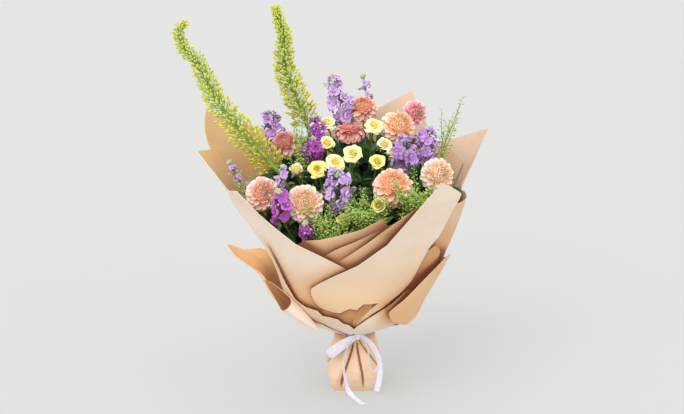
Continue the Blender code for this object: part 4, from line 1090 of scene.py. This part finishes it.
def paper_foot():
    """The gathered foot: the pouch's wall as a grid of angle and height, and its flat underside.
    The valleys of its folds and its top under the collars take painted shade.
    """
    turn = np.linspace(0, 2 * math.pi, POUCH_COLUMNS)[:, None]
    z = np.concatenate([[0, 0.0006, 0.0018], np.linspace(0.004, POUCH_TOP, POUCH_ROWS)])
    turn, z = np.broadcast_arrays(turn, z)
    points = foot_points(turn, z)
    points[..., :2] *= (1 - 0.012 * (1 - smooth(z / 0.0018)))[..., None]
    reach = np.linalg.norm(points[..., :2], axis=-1)
    # painted shade in the valleys of the folds, and at the top under the collars
    painted_valley_shade = smooth((np.roll(reach, 4, 0) + np.roll(reach, -4, 0) - 2 * reach) / 0.004)
    painted_valley_shade = np.maximum(painted_valley_shade, 0.6 * smooth((z - 0.098) / 0.02))
    marks = [m[None] for m in (turn * 0.05, z, painted_valley_shade, 0.5 + 0 * z)]
    pile = Pile()
    pile.add(points[None], marks)
    pile.add((points - grid_normals(points) * POUCH_PAPER)[None], marks, kind=1, flip=True)
    base = points[:, :1] * np.array([1, 1, 0]) * np.array([0.0, 0.35, 0.7, 1.0])[None, :, None]
    pile.add(base[None], [m[:, :, :1] for m in marks])
    pile.mesh("gathered_foot", [KRAFT["FOOT"], KRAFT["IN"]], "kraft_paper", "paper_foot", sharp=40)


# ---- Tie and ribbon --------------------------------------------------------------------------


def ribbon_strip(pile, points, side, width, steps, bow):
    """A ribbon along a way: its section is a thin band, bowed by a little of its width, and closed
    at both ends. Side is the way its width lies, at each of the points."""
    way = spline(points, steps)
    side = unit(spline(np.broadcast_to(side, (len(points), 3)), steps))
    slope = unit(np.gradient(way, axis=0))
    side = unit(side - slope * np.sum(side * slope, -1, keepdims=True))
    up = np.cross(side, slope)
    across = np.linspace(-1, 1, 7)
    section = np.concatenate([across, across[::-1]])
    lift = np.concatenate([np.full(7, HALF_BAND), np.full(7, -HALF_BAND)])[:, None]
    width = np.interp(np.linspace(0, 1, steps), np.linspace(0, 1, np.size(width)), np.ravel(width))
    width = each(width)
    lift = lift + bow * width * (1 - section**2)[:, None]
    points = way[:, None] + side[:, None] * (section / 2)[:, None] * width + up[:, None] * lift
    ends = points[[0, -1]]
    middles = ends.mean(1, keepdims=True)
    ends = middles + 0.001 * (ends - middles)
    points = np.concatenate([ends[:1], points, ends[1:]])
    along = np.linspace(0, 1, steps + 2)[None, :, None]
    pile.add(points[None], (along, section[None, None], 0.5, 0.5), True)


def satin_ribbon():
    """The ribbon: a band round the neck, a piece to the knot, a wide and a narrow loop, two tails,
    and the knot, a ball with six soft ribs."""
    pile = Pile()
    ring = polar(BAND_R, np.linspace(0, 2 * math.pi, 40), BAND_Z)
    ribbon_strip(pile, ring, (0.0, 0.0, 1.0), BAND_WIDE, 90, 0.03)
    knot = metres(KNOT)
    for points, side, width, steps, bow in RIBBON:
        ribbon_strip(pile, knot + metres(points), np.array(side, float), metres(width), steps, bow)
    p, q = circle(16), np.linspace(0.02, math.pi - 0.02, 9)[:, None]
    swell = 1 + 0.10 * np.cos(6 * p) * np.sin(q)
    ball = polar(np.sin(q) * swell, p, np.cos(q) * swell) * metres(KNOT_SIZE)
    pile.add((knot + ball)[None, ::-1], (0.5, 0.0, 0.5, 0.5), True)
    pile.mesh("satin_bow", [satin_finish()], "satin", "ribbon", sharp=50)


def string_tie():
    """The string round the bundle: a helix."""
    turn = np.linspace(0, 2 * math.pi * STRING_TURNS, 240)
    rise = TIE_Z + STRING_HALF + STRING_RISE * turn / turn[-1]
    strands = np.linspace(0, 60, len(turn) + 2)[None, :, None]
    pile = Pile()
    pile.add(tubes(polar(TIE_R, turn, rise)[None], STRING_HALF), (strands, 0, 0.5, 0.5), True)
    pile.mesh("tie_string", [string_finish()], "string", "stem_tie")


# ---- The bouquet's tables, with lengths in millimetres ---------------------------------------

# finish: the colours of its heart, body, rim, tip and base, then roughness, veins and glow,
# an emission: painted light for the light that comes through the petals
PETALS = {name: petal_finish(name + "_petals", *row) for name, *row in (
    ("peach", 0xFAD4B0, 0xF9D6B8, 0xF2A89C, 0xFDECE0, 0xF2AE76),
    ("apricot", 0xF9D4AA, 0xFBDEB8, 0xF8D0B6, 0xFEF0DE, 0xF3B678),
    ("rosy", 0xB06058, 0xF7DCCE, 0xF4CCC6, 0xFDF0E8, 0xE6A88E),
    ("coral", 0xDE9672, 0xF1BEA2, 0xF3C2B4, 0xF9DECE, 0xE49870),
    ("blush", 0xF7DAB4, 0xF9E4CE, 0xF5D6CA, 0xFEF4EA, 0xF1C498),
    ("dusty", 0xD69082, 0xE5AA9E, 0xEBB2AA, 0xF7D6CA, 0xD28476),
    ("carmine", 0xD47C70, 0xE39688, 0xE79E94, 0xF5CABC, 0xCE766C),
    ("pink", 0xEA96A2, 0xF5BAC2, 0xF3B0BE, 0xFDE2E4, 0xE28496),
    ("lemon", 0xFBEC70, 0xFBEE8E, 0xFCF4B2, 0xFDF8C8, 0xF6DE52, 0.45, 0.08, 0.06),
    ("butter", 0xF6E24A, 0xF8EA68, 0xFAF088, 0xFCF6AA, 0xF0D438, 0.45, 0.08, 0.06),
    ("ivory", 0xF8EA9C, 0xF9F0B8, 0xFAF2C8, 0xFEF9DE, 0xF2E088, 0.45, 0.12, 0.04),
    ("olive", 0xE0D85A, 0xE4DC70, 0xC4BA5C, 0xEEE898, 0xC0AE52, 0.45),
    ("lilac", 0xE6CCEE, 0xD6ACEA, 0xD0A0E6, 0xE4C6F2, 0xDEC6E0),
    ("violet", 0xE0BAE8, 0xCC96E4, 0xC48AE0, 0xD8B0EC, 0xD4B6DC),
    ("lime", 0xD8DE64, 0xCCD65A, 0xB0C450, 0xE8EC96, 0x96B03C, 0.45),
    ("deep_magenta", 0xCE78C4, 0xB042B2, 0xA436AA, 0xC268C4, 0xA050A0),
    ("magenta", 0xE092E0, 0xC858D0, 0xBE4ACA, 0xD67CDC, 0xBE68C4),
)}
# finish: its dark and light colour, then roughness, how finely it varies, and whether it has ribs
GREENS = {row[0]: green_finish(*row) for row in (
    ("dahlia_eye", 0x788432, 0xCEC460, 0.45, 400),
    ("rose_eye", 0xC49E14, 0xE8C832, 0.45, 400),
    ("calyx", 0x688A42, 0xA8BE68),
    ("stock_buds", 0x8EA870, 0xD2DEB6),
    ("stems", 0x42662C, 0x7C9E48),
    ("rose_leaves", 0x18321C, 0x446838, 0.38, 120, True),
    ("small_leaves", 0x365C26, 0x7EA24A, 0.5, 120, True),
    ("pods", 0x86B040, 0xCEE280, 0.45, 200),
    ("pod_stalks", 0x789E46, 0xA8C06A),
    ("foxtail_stems", 0x689628, 0xA0BE46),
)}
FOXTAIL_BUD = foxtail_finish()
# finish: its light, dark and warm colour, then the heights in metres where the warm one starts
# and is full. DEEP, FOLD and UNDER are darker copies of the paper: painted shade for sheets and
# folds that lie in shade
KRAFT = {key: kraft_finish(*row) for key, row in {
    "OUT": ("kraft_outside", 0xF4E2CE, 0xE9CFB4, 0xEAC092, 0.4, 0.16),
    # painted shade: a darker copy for the inner right sheet
    "DEEP": ("kraft_painted_shade_for_folds", 0xE2BE98, 0xD0A67C, 0xC48044, 0.34, 0.2),
    "COLLAR": ("kraft_collars", 0xEECEA8, 0xE2B686, 0xF0DECC, 0.24, 0.15),
    # painted shade: a darker copy for the tucked-under sheet and folds
    "FOLD": ("kraft_painted_shade_tucked_under", 0xCC9C6E, 0xB88658, 0xA06232, 0.34, 0.2),
    # its warm colour is a brown: painted shade low on the sheet
    "LEFT": ("kraft_front_left", 0xF4E2CE, 0xE9CFB4, 0xCC905E, 0.33, 0.16),
    # painted shade: a deep orange copy for the fold under the front right sheet
    "UNDER": ("kraft_painted_orange_shade_fold", 0xC48046, 0xAE662E, 0xA65822, 0.3, 0.16),
    "TAN": ("kraft_lobe", 0xECC292, 0xDEAC78, 0xE2B07E, 0.3, 0.15),
    # the collars' inner side: a deeper orange tone of that side, and painted glow of light through
    # the paper
    "GLOW": ("kraft_collars_inner_tone_painted_glow", 0xFDCE8E, 0xF6BC74, 0xDE9A5E, 0.27, 0.18),
    "IN": ("kraft_inside", 0xDEC0A6, 0xCAA488, 0xBA8A62, 0.46, 0.2),
    "GOLD": ("kraft_inside_lit", 0xEAC28C, 0xDCAC72, 0xBE8A58, 0.46, 0.2),
    "FOOT": ("kraft_foot", 0xF0D6BC, 0xE4C2A0, 0xEACAAA),
}.items()}
# the tips of single leaves
LEAF_TIPS = (
    (21, -20, 520), (49, -22, 500), (6, -66, 452), (14, -94, 432), (-106, -112, 380),
    (-134, -100, 372), (-176, -40, 455), (-98, -30, 486), (108, -70, 462), (132, -95, 412),
    (-64, -100, 415),
)
# the way it faces, its finish and slot, petals, eye over radius, depth, how open, droop
DAHLIAS = (
    ((0.3, -0.85, 0.4), "rosy", "pink", 108, 0.12, 0.82, 0.02, 0.2),
    ((0.1, -0.9, 0.38), "blush", "cream", 128, 0.09, 0.86, -0.04, 0.0),
    ((-0.3, -0.6, 0.7), "dusty", "pink", 112, 0.0, 0.9, 0.0, 0.2),
    ((0.0, -0.05, 0.95), "carmine", "pink", 88, 0.0, 0.66, 0.12, 0.5),
    ((-0.1, -0.5, 0.85), "coral", "peach", 112, 0.0, 0.86, 0.02, 0.2),
    ((0.5, -0.65, 0.5), "apricot", "peach", 108, 0.1, 0.88, 0.0, 0.1),
    ((0.35, -0.75, 0.2), "pink", "pink", 60, 0.24, 0.7, 0.2, 0.1),
    ((0.1, -0.65, 0.7), "peach", "peach", 104, 0.0, 0.82, 0.1, 0.2),
    ((0.5, -0.8, 0.3), "blush", "cream", 106, 0.12, 0.84, 0.03, 0.1),
)
# the way it faces, its finish and slot, how open it is, petals, eye over radius
ROSES = (
    ((-0.3, -0.45, 0.85), "lemon", "yellow", 0.8, 22, 0),
    ((0.1, -0.6, 0.75), "lemon", "yellow", 0.55, 20, 0),
    ((0.1, -0.6, 0.75), "lemon", "yellow", 0.8, 24, 0),
    ((0.0, -0.75, 0.6), "lemon", "yellow", 0.7, 24, 0),
    ((0.2, -0.75, 0.6), "lemon", "yellow", 0.9, 20, 0),
    ((-0.1, -0.88, 0.42), "butter", "yellow", 0.85, 16, 0.2),
    ((-0.1, -0.6, 0.75), "ivory", "yellow", 0.15, 14, 0),
    ((0.1, -0.8, 0.6), "butter", "yellow", 0.5, 24, 0),
    ((0.1, -0.7, 0.7), "ivory", "cream", 0.6, 18, 0),
    ((0.2, -0.7, 0.7), "ivory", "cream", 0.4, 18, 0),
    ((-0.1, -0.85, 0.5), "olive", "olive", 0.35, 16, 0),
    ((-0.2, -0.85, 0.45), "olive", "olive", 0.2, 14, 0),
    ((0.0, -0.7, 0.7), "lime", "yellow", 0.1, 8, 0),
)
# foot and tip of the spike, radius over the florets, florets, finish and slot
STOCKS = (
    ((-36, -98, 420), (-34, -122, 468), 29, 21, "lilac", "lilac"),
    ((-138, -130, 396), (-142, -148, 442), 23, 15, "magenta", "magenta"),
    ((-84, -14, 484), (-83, -26, 518), 20, 11, "deep_magenta", "magenta"),
    ((-74, 18, 522), (-80, 8, 556), 16, 9, "magenta", "magenta"),
    ((-20, 75, 535), (-42, 72, 622), 24, 22, "lilac", "lilac"),
    ((-158, 66, 490), (-172, 70, 550), 23, 15, "violet", "lilac"),
    ((98, -34, 468), (96, -36, 520), 26, 16, "violet", "lilac"),
    ((140, 12, 478), (142, 12, 528), 24, 16, "violet", "lilac"),
    ((-216, -30, 420), (-244, -26, 472), 12, 9, "lilac", "lilac"),
    ((-146, -72, 442), (-140, -82, 476), 12, 7, "lilac", "lilac"),
    ((-88, -146, 360), (-94, -160, 384), 16, 10, "deep_magenta", "magenta"),
    ((30, 122, 560), (18, 120, 618), 12, 8, "lilac", "lilac"),
)
# points along the axis, spread, buds
FOXTAILS = (
    ((
        (-150, -34, 458), (-198, -22, 511), (-236, -12, 552), (-271, -2, 594), (-292, 5, 637),
        (-307, 8, 668), (-330, 10, 692), (-341, 12, 718), (-340, 12, 734), (-331, 12, 743)
    ), 28.5, 760),
    ((
        (-94, 42, 532), (-101, 45, 554), (-112, 48, 582), (-124, 50, 606), (-135, 52, 633),
        (-140, 54, 658), (-141, 56, 710), (-149, 57, 739), (-156, 58, 767)
    ), 27.5, 700),
)
# foot and tip, spread, side stems, pods on each, how far stretched sideways
SPRAYS = (
    ((-50, -120, 335), (-46, -152, 392), 56, 30, 30, 1.0),
    ((18, -120, 352), (18, -152, 410), 54, 30, 30, 1.0),
    ((108, -112, 372), (120, -128, 434), 52, 28, 30, 1.15),
    ((-104, -30, 440), (-108, -6, 526), 28, 10, 20, 1.0),
    ((170, 30, 450), (190, 40, 548), 34, 6, 18, 1.0),
    ((-196, -52, 388), (-226, -50, 440), 30, 7, 16, 1.0),
)
# name, finishes, then each part of the sheet: its layer from the inside, the places of its outer
# and inner finish, and along it: angle, high edge, flare, roll in tenths, belly, and low edge,
# where it isn't at the tie
SHEETS = (
    ("back", "OUT IN", (
        (0, (0, 1), (
            (34, 450, 0, 1), (57, 494, 0, 1), (69, 584, 0, 1), (80, 548, 0, 1), (100, 500, 0, 1),
            (122, 480)
        )),
    )),
    ("left", "OUT GOLD", (
        (0.6, (0, 1), (
            (132, 450, -4, 1), (147, 470, -2, 1), (165, 490, 4, 1), (180, 506, 22, 2),
            (192, 450, 16, 1), (206, 400, 10), (226, 340, 6)
        )),
    )),
    ("back_left", "OUT GOLD", (
        (1.4, (0, 1), (
            (108, 470, 0, 1), (124, 507, 6, 1), (144, 546, 10, 1), (154, 568, 6, 1),
            (164, 528, 7, 1), (168, 505, 8, 1), (171, 480, 10, 1)
        )),
    )),
    ("right", "DEEP IN", (
        (1, (0, 1), (
            (-58, 330, -20), (-32, 400, -44), (2, 400, -50), (10, 398, -48), (18, 408, -34),
            (27, 462, 0, 1), (30, 528, 8, 1), (52, 488, 4, 1), (78, 450, 0, 1)
        )),
    )),
    ("front_lip", "OUT IN", (
        (1.3, (0, 1), (
            (236, 340, 4), (245, 360, 4), (254, 369, 4, 1), (263, 384, 4, 2), (272, 397, 4, 2),
            (281, 414, 4, 1), (284, 396, 4), (304, 350, 4)
        )),
        (2.0, (0, 1), (
            (247, 320, 8, 0, 0, 260), (254.5, 333, 14, 1, 0, 260), (259, 347, 18, 2, 0, 270),
            (263, 357, 19, 2, 0, 270), (269, 369, 18, 2, 0, 280), (276, 383, 14, 1, 0, 290),
            (284, 398, 9, 1, 0, 300), (290, 408, 5, 0, 0, 310)
        )),
    )),
    ("front_left", "LEFT GLOW", (
        (3.4, (0, 1), (
            (201, 410, 14, 1), (207, 445, 14, 1), (222, 468, 16, 2), (230, 424, 20, 2),
            (243, 366, 28, 1), (254, 337, 34), (264, 313, 34), (272, 290, 30), (280, 250, 20)
        )),
    )),
    ("right_inner", "FOLD GLOW", (
        (2.6, (0, 1), (
            (262, 190), (285, 215), (296, 240), (303, 290), (309, 322), (314.5, 340, 2, 1),
            (318.5, 330, 2, 1), (323, 316, 2), (327, 270), (345, 220)
        )),
    )),
    ("front_right", "OUT FOLD UNDER", (
        (4.2, (0, 1), (
            (240.6, 243, 40, 0, 0, 233), (241.4, 253, 42, 0, 0, 223), (243, 260, 44, 0, 0, 216),
            (247, 269, 46, 0, 0, 211), (252.5, 282, 48, 1, 0, 208), (258.5, 296, 48, 1, 0, 209),
            (262, 304, 46, 1, 0, 215), (266, 313, 44, 1, 0, 222), (271, 325, 42, 1, 0, 220),
            (275, 339, 40, 1, 0, 233), (283.5, 370, 36, 1, 0, 233), (285.3, 384, 34, 1, 0, 232)
        )),
        (4.2, (0, 1), (
            (285.3, 384, 34, 1, 0, 214), (289, 408, 26, 1, 0, 219), (292, 427, 20, 1, 0, 226),
            (296.5, 457, 14, 1, 0, 236), (300, 480, 11, 1, 0, 243), (301.3, 488, 10, 0, 0, 247),
            (306, 477, 8, 0, 0, 266), (307.4, 474, 7, 0, 0, 290), (309.5, 468, 6, 0, 0, 338),
            (313.5, 458, 5, 0, 0, 362), (315, 454, 4, 0, 0, 416), (316, 450, 4, 0, 0, 440)
        )),
        (4.2, (0, 1), (
            (270.5, 183, 34, 0, 0, 178), (276, 203, 34, 0, 0, 194), (282, 223, 34, 0, 0, 208),
            (285.3, 232, 34, 0, 0, 214)
        )),
        (3.6, (2, 2), (
            (256, 222, 37), (266, 240, 38), (276, 245, 34), (288, 238, 24), (296, 225, 14)
        )),
        (3.9, (1, 1), (
            (268, 190, 38), (272, 214, 39), (277, 236, 37), (279, 234, 33), (281, 230, 30)
        )),
        (2.5, (0, 1), (
            (255, 307, 14, 0, 0, 280), (261.5, 322, 16, 2, 0, 290), (268.5, 345, 20, 2, 0, 305),
            (275.5, 370, 24, 2, 0, 325), (283.5, 402, 26, 2, 0, 350), (289, 421, 24, 1, 0, 380),
            (294, 438, 18, 0, 0, 400)
        )),
    )),
    ("low_front", "COLLAR GLOW", (
        (5, (0, 1), (
            (213, 240, 4), (216, 290, 5), (218, 335, 6), (219.5, 310, 6), (221, 270, 6),
            (224.5, 226, 6), (233, 216, 7, 1), (242, 213, 8, 1), (243.5, 198, 8),
            (256.5, 199, 8, 1), (260, 187, 8), (264.5, 184, 8), (272, 162, 10), (280, 142, 12)
        )),
    )),
    ("low_right", "COLLAR GLOW TAN", (
        (4.6, (0, 1), (
            (266, 160, 4, 0, 2), (271.5, 184, 6, 0, 3), (277, 197, 6, 0, 4), (282.5, 208, 8, 0, 5),
            (287.5, 216, 8, 0, 5), (294, 226, 8, 0, 4), (300, 238, 4, 0, 4), (306, 250, 0, 0, 4),
            (330, 220, 0, 0, 3)
        )),
        (6, (2, 1), (
            (291.8, 226, 24, 0, 4, 221), (293, 231, 24, 0, 5, 214), (295, 236, 23, 0, 6, 206),
            (298, 243, 22, 0, 7, 199), (302, 254, 20, 0, 8, 193), (308, 273, 16, 0, 9, 187),
            (314.5, 290, 11, 0, 10, 182), (320.5, 302, 6, 0, 12, 179),
            (327.5, 310, -1, 0, 12, 175), (334, 309, -6, 0, 12, 160), (340, 300, -9, 0, 10, 130),
            (346, 290, -10, 0, 8), (360, 278, -8, 0, 4), (392, 262, -4)
        )),
    )),
    ("low_left", "COLLAR GLOW", (
        (6, (0, 1), (
            (128, 250, 10, 1, -4), (140, 280, 20, 3, -8), (147, 297, 26, 4, -10),
            (156, 307, 28, 6, -12), (165, 316, 30, 4, -20), (170, 320, 36, 2, -24),
            (173, 323, 41, 1, -26), (176, 324, 44, 0, -26), (178, 304, 43, 0, -26),
            (180, 280, 40, 0, -24), (182.5, 254, 33, 0, -24), (186, 233, 25, 0, -20),
            (191, 216, 20, 0, -12), (198, 205, 17, 0, -4), (207, 200, 18), (216, 196, 14),
            (225, 188, 10), (235, 172, 10), (245, 150, 10)
        )),
    )),
)
# the scrolled lower edge of the left collar: its mouth, as a loop of points, and its root
SCROLLS = {"paper_low_left": ((
    (-179.9, -72, 250.2), (-171.8, -78, 236.2), (-159.4, -92, 220.5), (-151.5, -102, 210),
    (-143.4, -114, 200.8), (-135, -124, 206), (-126.8, -120, 214), (-126.2, -108, 221.5),
    (-139, -96, 231), (-153.4, -85, 239.3), (-166, -76, 245.5),
), (-76, -94, 156))}
KNOT, KNOT_SIZE = (5.5, -50, 122.5), (6, 5, 7.5)
# the ribbon's band and the string, in metres
BAND_R, BAND_Z, BAND_WIDE, HALF_BAND = 0.0375, 0.1190, 0.006, 0.00025
TIE_R, STRING_HALF, STRING_RISE, STRING_TURNS = 0.0268, 0.0008, 0.0085, 6
# points from the knot, the way the width lies, the width, steps, bow
RIBBON = (
    (((0, 12, -4), (0.1, 6, -2), (0, 0, 0)), (1, 0, 0), 9, 12, 0.03),
    (((0, 0, 0), (-14, -6, -4), (-32, -10, -15), (-49, -12, -27.5), (-58.5, -9, -36),
      (-59, -2, -37.5), (-53, 4, -33.5), (-30, 5, -19), (-10, 3, -6), (0, 0, -1)),
     (-0.52, -0.12, 0.85), (6, 14.5, 21, 22.5, 17, 11, 16.5, 20.5, 14, 6), 120, 0.05),
    (((0, 0, 0), (15, -6, -12), (21.5, -10.5, -33), (23, -13.5, -52), (29, -14, -69),
      (37, -14.5, -66), (41, -14, -54), (33, -11, -26), (18, -5, -8), (0, -1, 0)),
     (0.25, -1.0, 0.10), 7, 110, 0.02),
    (((0, -1, 0), (13, -6, -1.5), (27, -11, -12), (39.5, -15, -33), (45, -17, -56),
      (44, -15.5, -85), (38.5, -11, -114)),
     ((0.3, -0.3, 1), (0.4, -0.4, 0.9), (0.9, -0.5, 0.6), (1, -0.5, 0.3), (1, -0.5, 0.1),
      (1, -0.4, 0), (1, -0.3, 0.15)), 11, 70, 0.06),
    (((0, -1, 0), (-17, -8, -15), (-25.5, -13, -36), (-27.5, -16, -64), (-24, -16.5, -90),
      (-18.5, -16.5, -111), (-10, -21, -120.3), (-1, -40, -120.9), (10, -60, -120.9)),
     ((0.3, 0.9, 0), (0.3, 0.9, 0), (0.25, 0.9, 0), (0.3, 0.9, 0), (0.4, 0.8, 0), (0.7, 0.5, 0),
      (1, 0.3, 0), (1, 0.5, 0), (1, 0.5, 0)), 10.5, 90, 0.06),
)


# ---- The bouquet -----------------------------------------------------------------------------


def seat_of(node, axis):
    """Where a head sits on its stem: 0.42 of its middle size behind its middle."""
    low, high = (np.array(v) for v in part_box(node))
    return (low + high) / 2 - unit(np.array(axis)) * 0.42 * float(np.sort(high - low)[1])


seats = []
HEADS = ((DAHLIAS, "dahlia", petal_dahlia, 0), (ROSES, "rose", petal_rose, 39))
for table, kind, make, seed in HEADS:
    for i, (axis, finish, slot, *shape) in enumerate(table, 1):
        node = f"{kind}_{i}"
        make(node, axis, PETALS[finish], "petals_" + slot, *shape, seed + i)
        seats.append((seat_of(node, axis), axis, kind))
for i, (foot, tip, spread, count, finish, slot) in enumerate(STOCKS, 1):
    foot, tip, spread = metres(foot), metres(tip), spread / 1000
    petal_stock(f"stock_{i}", foot, tip, spread, count, PETALS[finish], "petals_" + slot, 79 + i)
    seats.append((foot, tip - foot, "stock"))
for i, (points, spread, count) in enumerate(FOXTAILS, 1):
    points = metres(points)
    petal_foxtail(f"foxtail_{i}", points, spread / 1000, count, "florets_lime", 109 + i)
    seats.append((points[0], points[1] - points[0], "foxtail"))
for i, (foot, tip, spread, *counts) in enumerate(SPRAYS, 1):
    foot, tip = metres(foot), metres(tip)
    seed_spray(f"seeds_{i}", foot, tip, spread / 1000, *counts, "seeds_green", 119 + i)
    seats.append((foot, tip - foot, "seeds"))
stems_and_leaves(seats)
for name, sides, parts in SHEETS:
    paper_sheet("paper_" + name, [KRAFT[side] for side in sides.split()], parts)
paper_foot()
string_tie()
satin_ribbon()


# ---- Floor, light and camera -----------------------------------------------------------------

FLOOR_R, FLOOR_RINGS, FLOOR_SIDES = 40, 14, 48
FLOOR_LIGHT, FLOOR_DARK, FLOOR_GLOW, FLOOR_GLOW_SHARE = 0x969695, 0x959594, 0xFCFDFC, 0.31
ROOM_COLOUR, ROOM_STRENGTH = (0.76, 0.76, 0.745, 1.0), 1.06
LENS, SENSOR, CLIP_END = 70, 36, 60
CAMERA_RISE, CAMERA_FAR, AIM_X, AIM_Z = math.radians(15), 2.66, -0.026, 0.379
# the way it shines, its strength, and how wide it is in degrees
SUNS = {
    "key": ((0.50, 0.75, -0.85), 1.55, 50),
    "fill": ((-0.80, 0.60, -0.55), 0.6, 70),
    "top": ((0.0, -0.20, -1.0), 0.8, 60),
}


def studio():
    """A pale floor, 80 m wide, in rings that widen outwards: radius 40 * share^3."""
    reach = FLOOR_R * np.linspace(0.02, 1, FLOOR_RINGS)[:, None] ** 3
    points = polar(reach, circle(FLOOR_SIDES), 0.0)
    points[0, :, :2] = 0
    made = bpy.data.meshes.new("studio")
    quads = grid_quads(FLOOR_RINGS, FLOOR_SIDES, True)
    made.from_pydata(points.reshape(-1, 3).tolist(), [], quads.tolist())
    made.validate()
    f = Finish("studio_floor", 0.95, Emission_Color=tone(FLOOR_GLOW),
               Emission_Strength=FLOOR_GLOW_SHARE)
    f.feed(Base_Color=f.mix(FLOOR_LIGHT, FLOOR_DARK, f.noise(f.place(), 3.0, 2.0)))
    made.materials.append(f.material)
    floor = link("studio", made)


def sun(name, way, strength, softness):
    """A light from afar that shines along a way, as wide as softness in degrees."""
    light = bpy.data.lights.new(name, "SUN")
    light.energy, light.angle = strength, math.radians(softness)
    link(name, light).rotation_euler = Vector(way).to_track_quat("-Z", "Y").to_euler()


def camera():
    """A 70 mm lens that looks down by CAMERA_RISE at the bouquet's middle, from CAMERA_FAR away."""
    lens = bpy.data.cameras.new("camera")
    lens.lens, lens.sensor_width, lens.clip_end = LENS, SENSOR, CLIP_END
    thing = link("camera", lens)
    y, z = CAMERA_FAR * math.cos(CAMERA_RISE), CAMERA_FAR * math.sin(CAMERA_RISE)
    thing.location = (AIM_X, -y, AIM_Z + z)
    thing.rotation_euler = (math.pi / 2 - CAMERA_RISE, 0, 0)
    bpy.context.scene.camera = thing


def room():
    """The even light from all round, and the plain view transform."""
    world = bpy.data.worlds.new("room")
    world.use_nodes = True
    background = world.node_tree.nodes["Background"].inputs
    background["Color"].default_value = ROOM_COLOUR
    background["Strength"].default_value = ROOM_STRENGTH
    bpy.context.scene.world = world
    bpy.context.scene.view_settings.view_transform = "Standard"


studio()
for name, numbers in SUNS.items():
    sun(name, *numbers)
room()
camera()
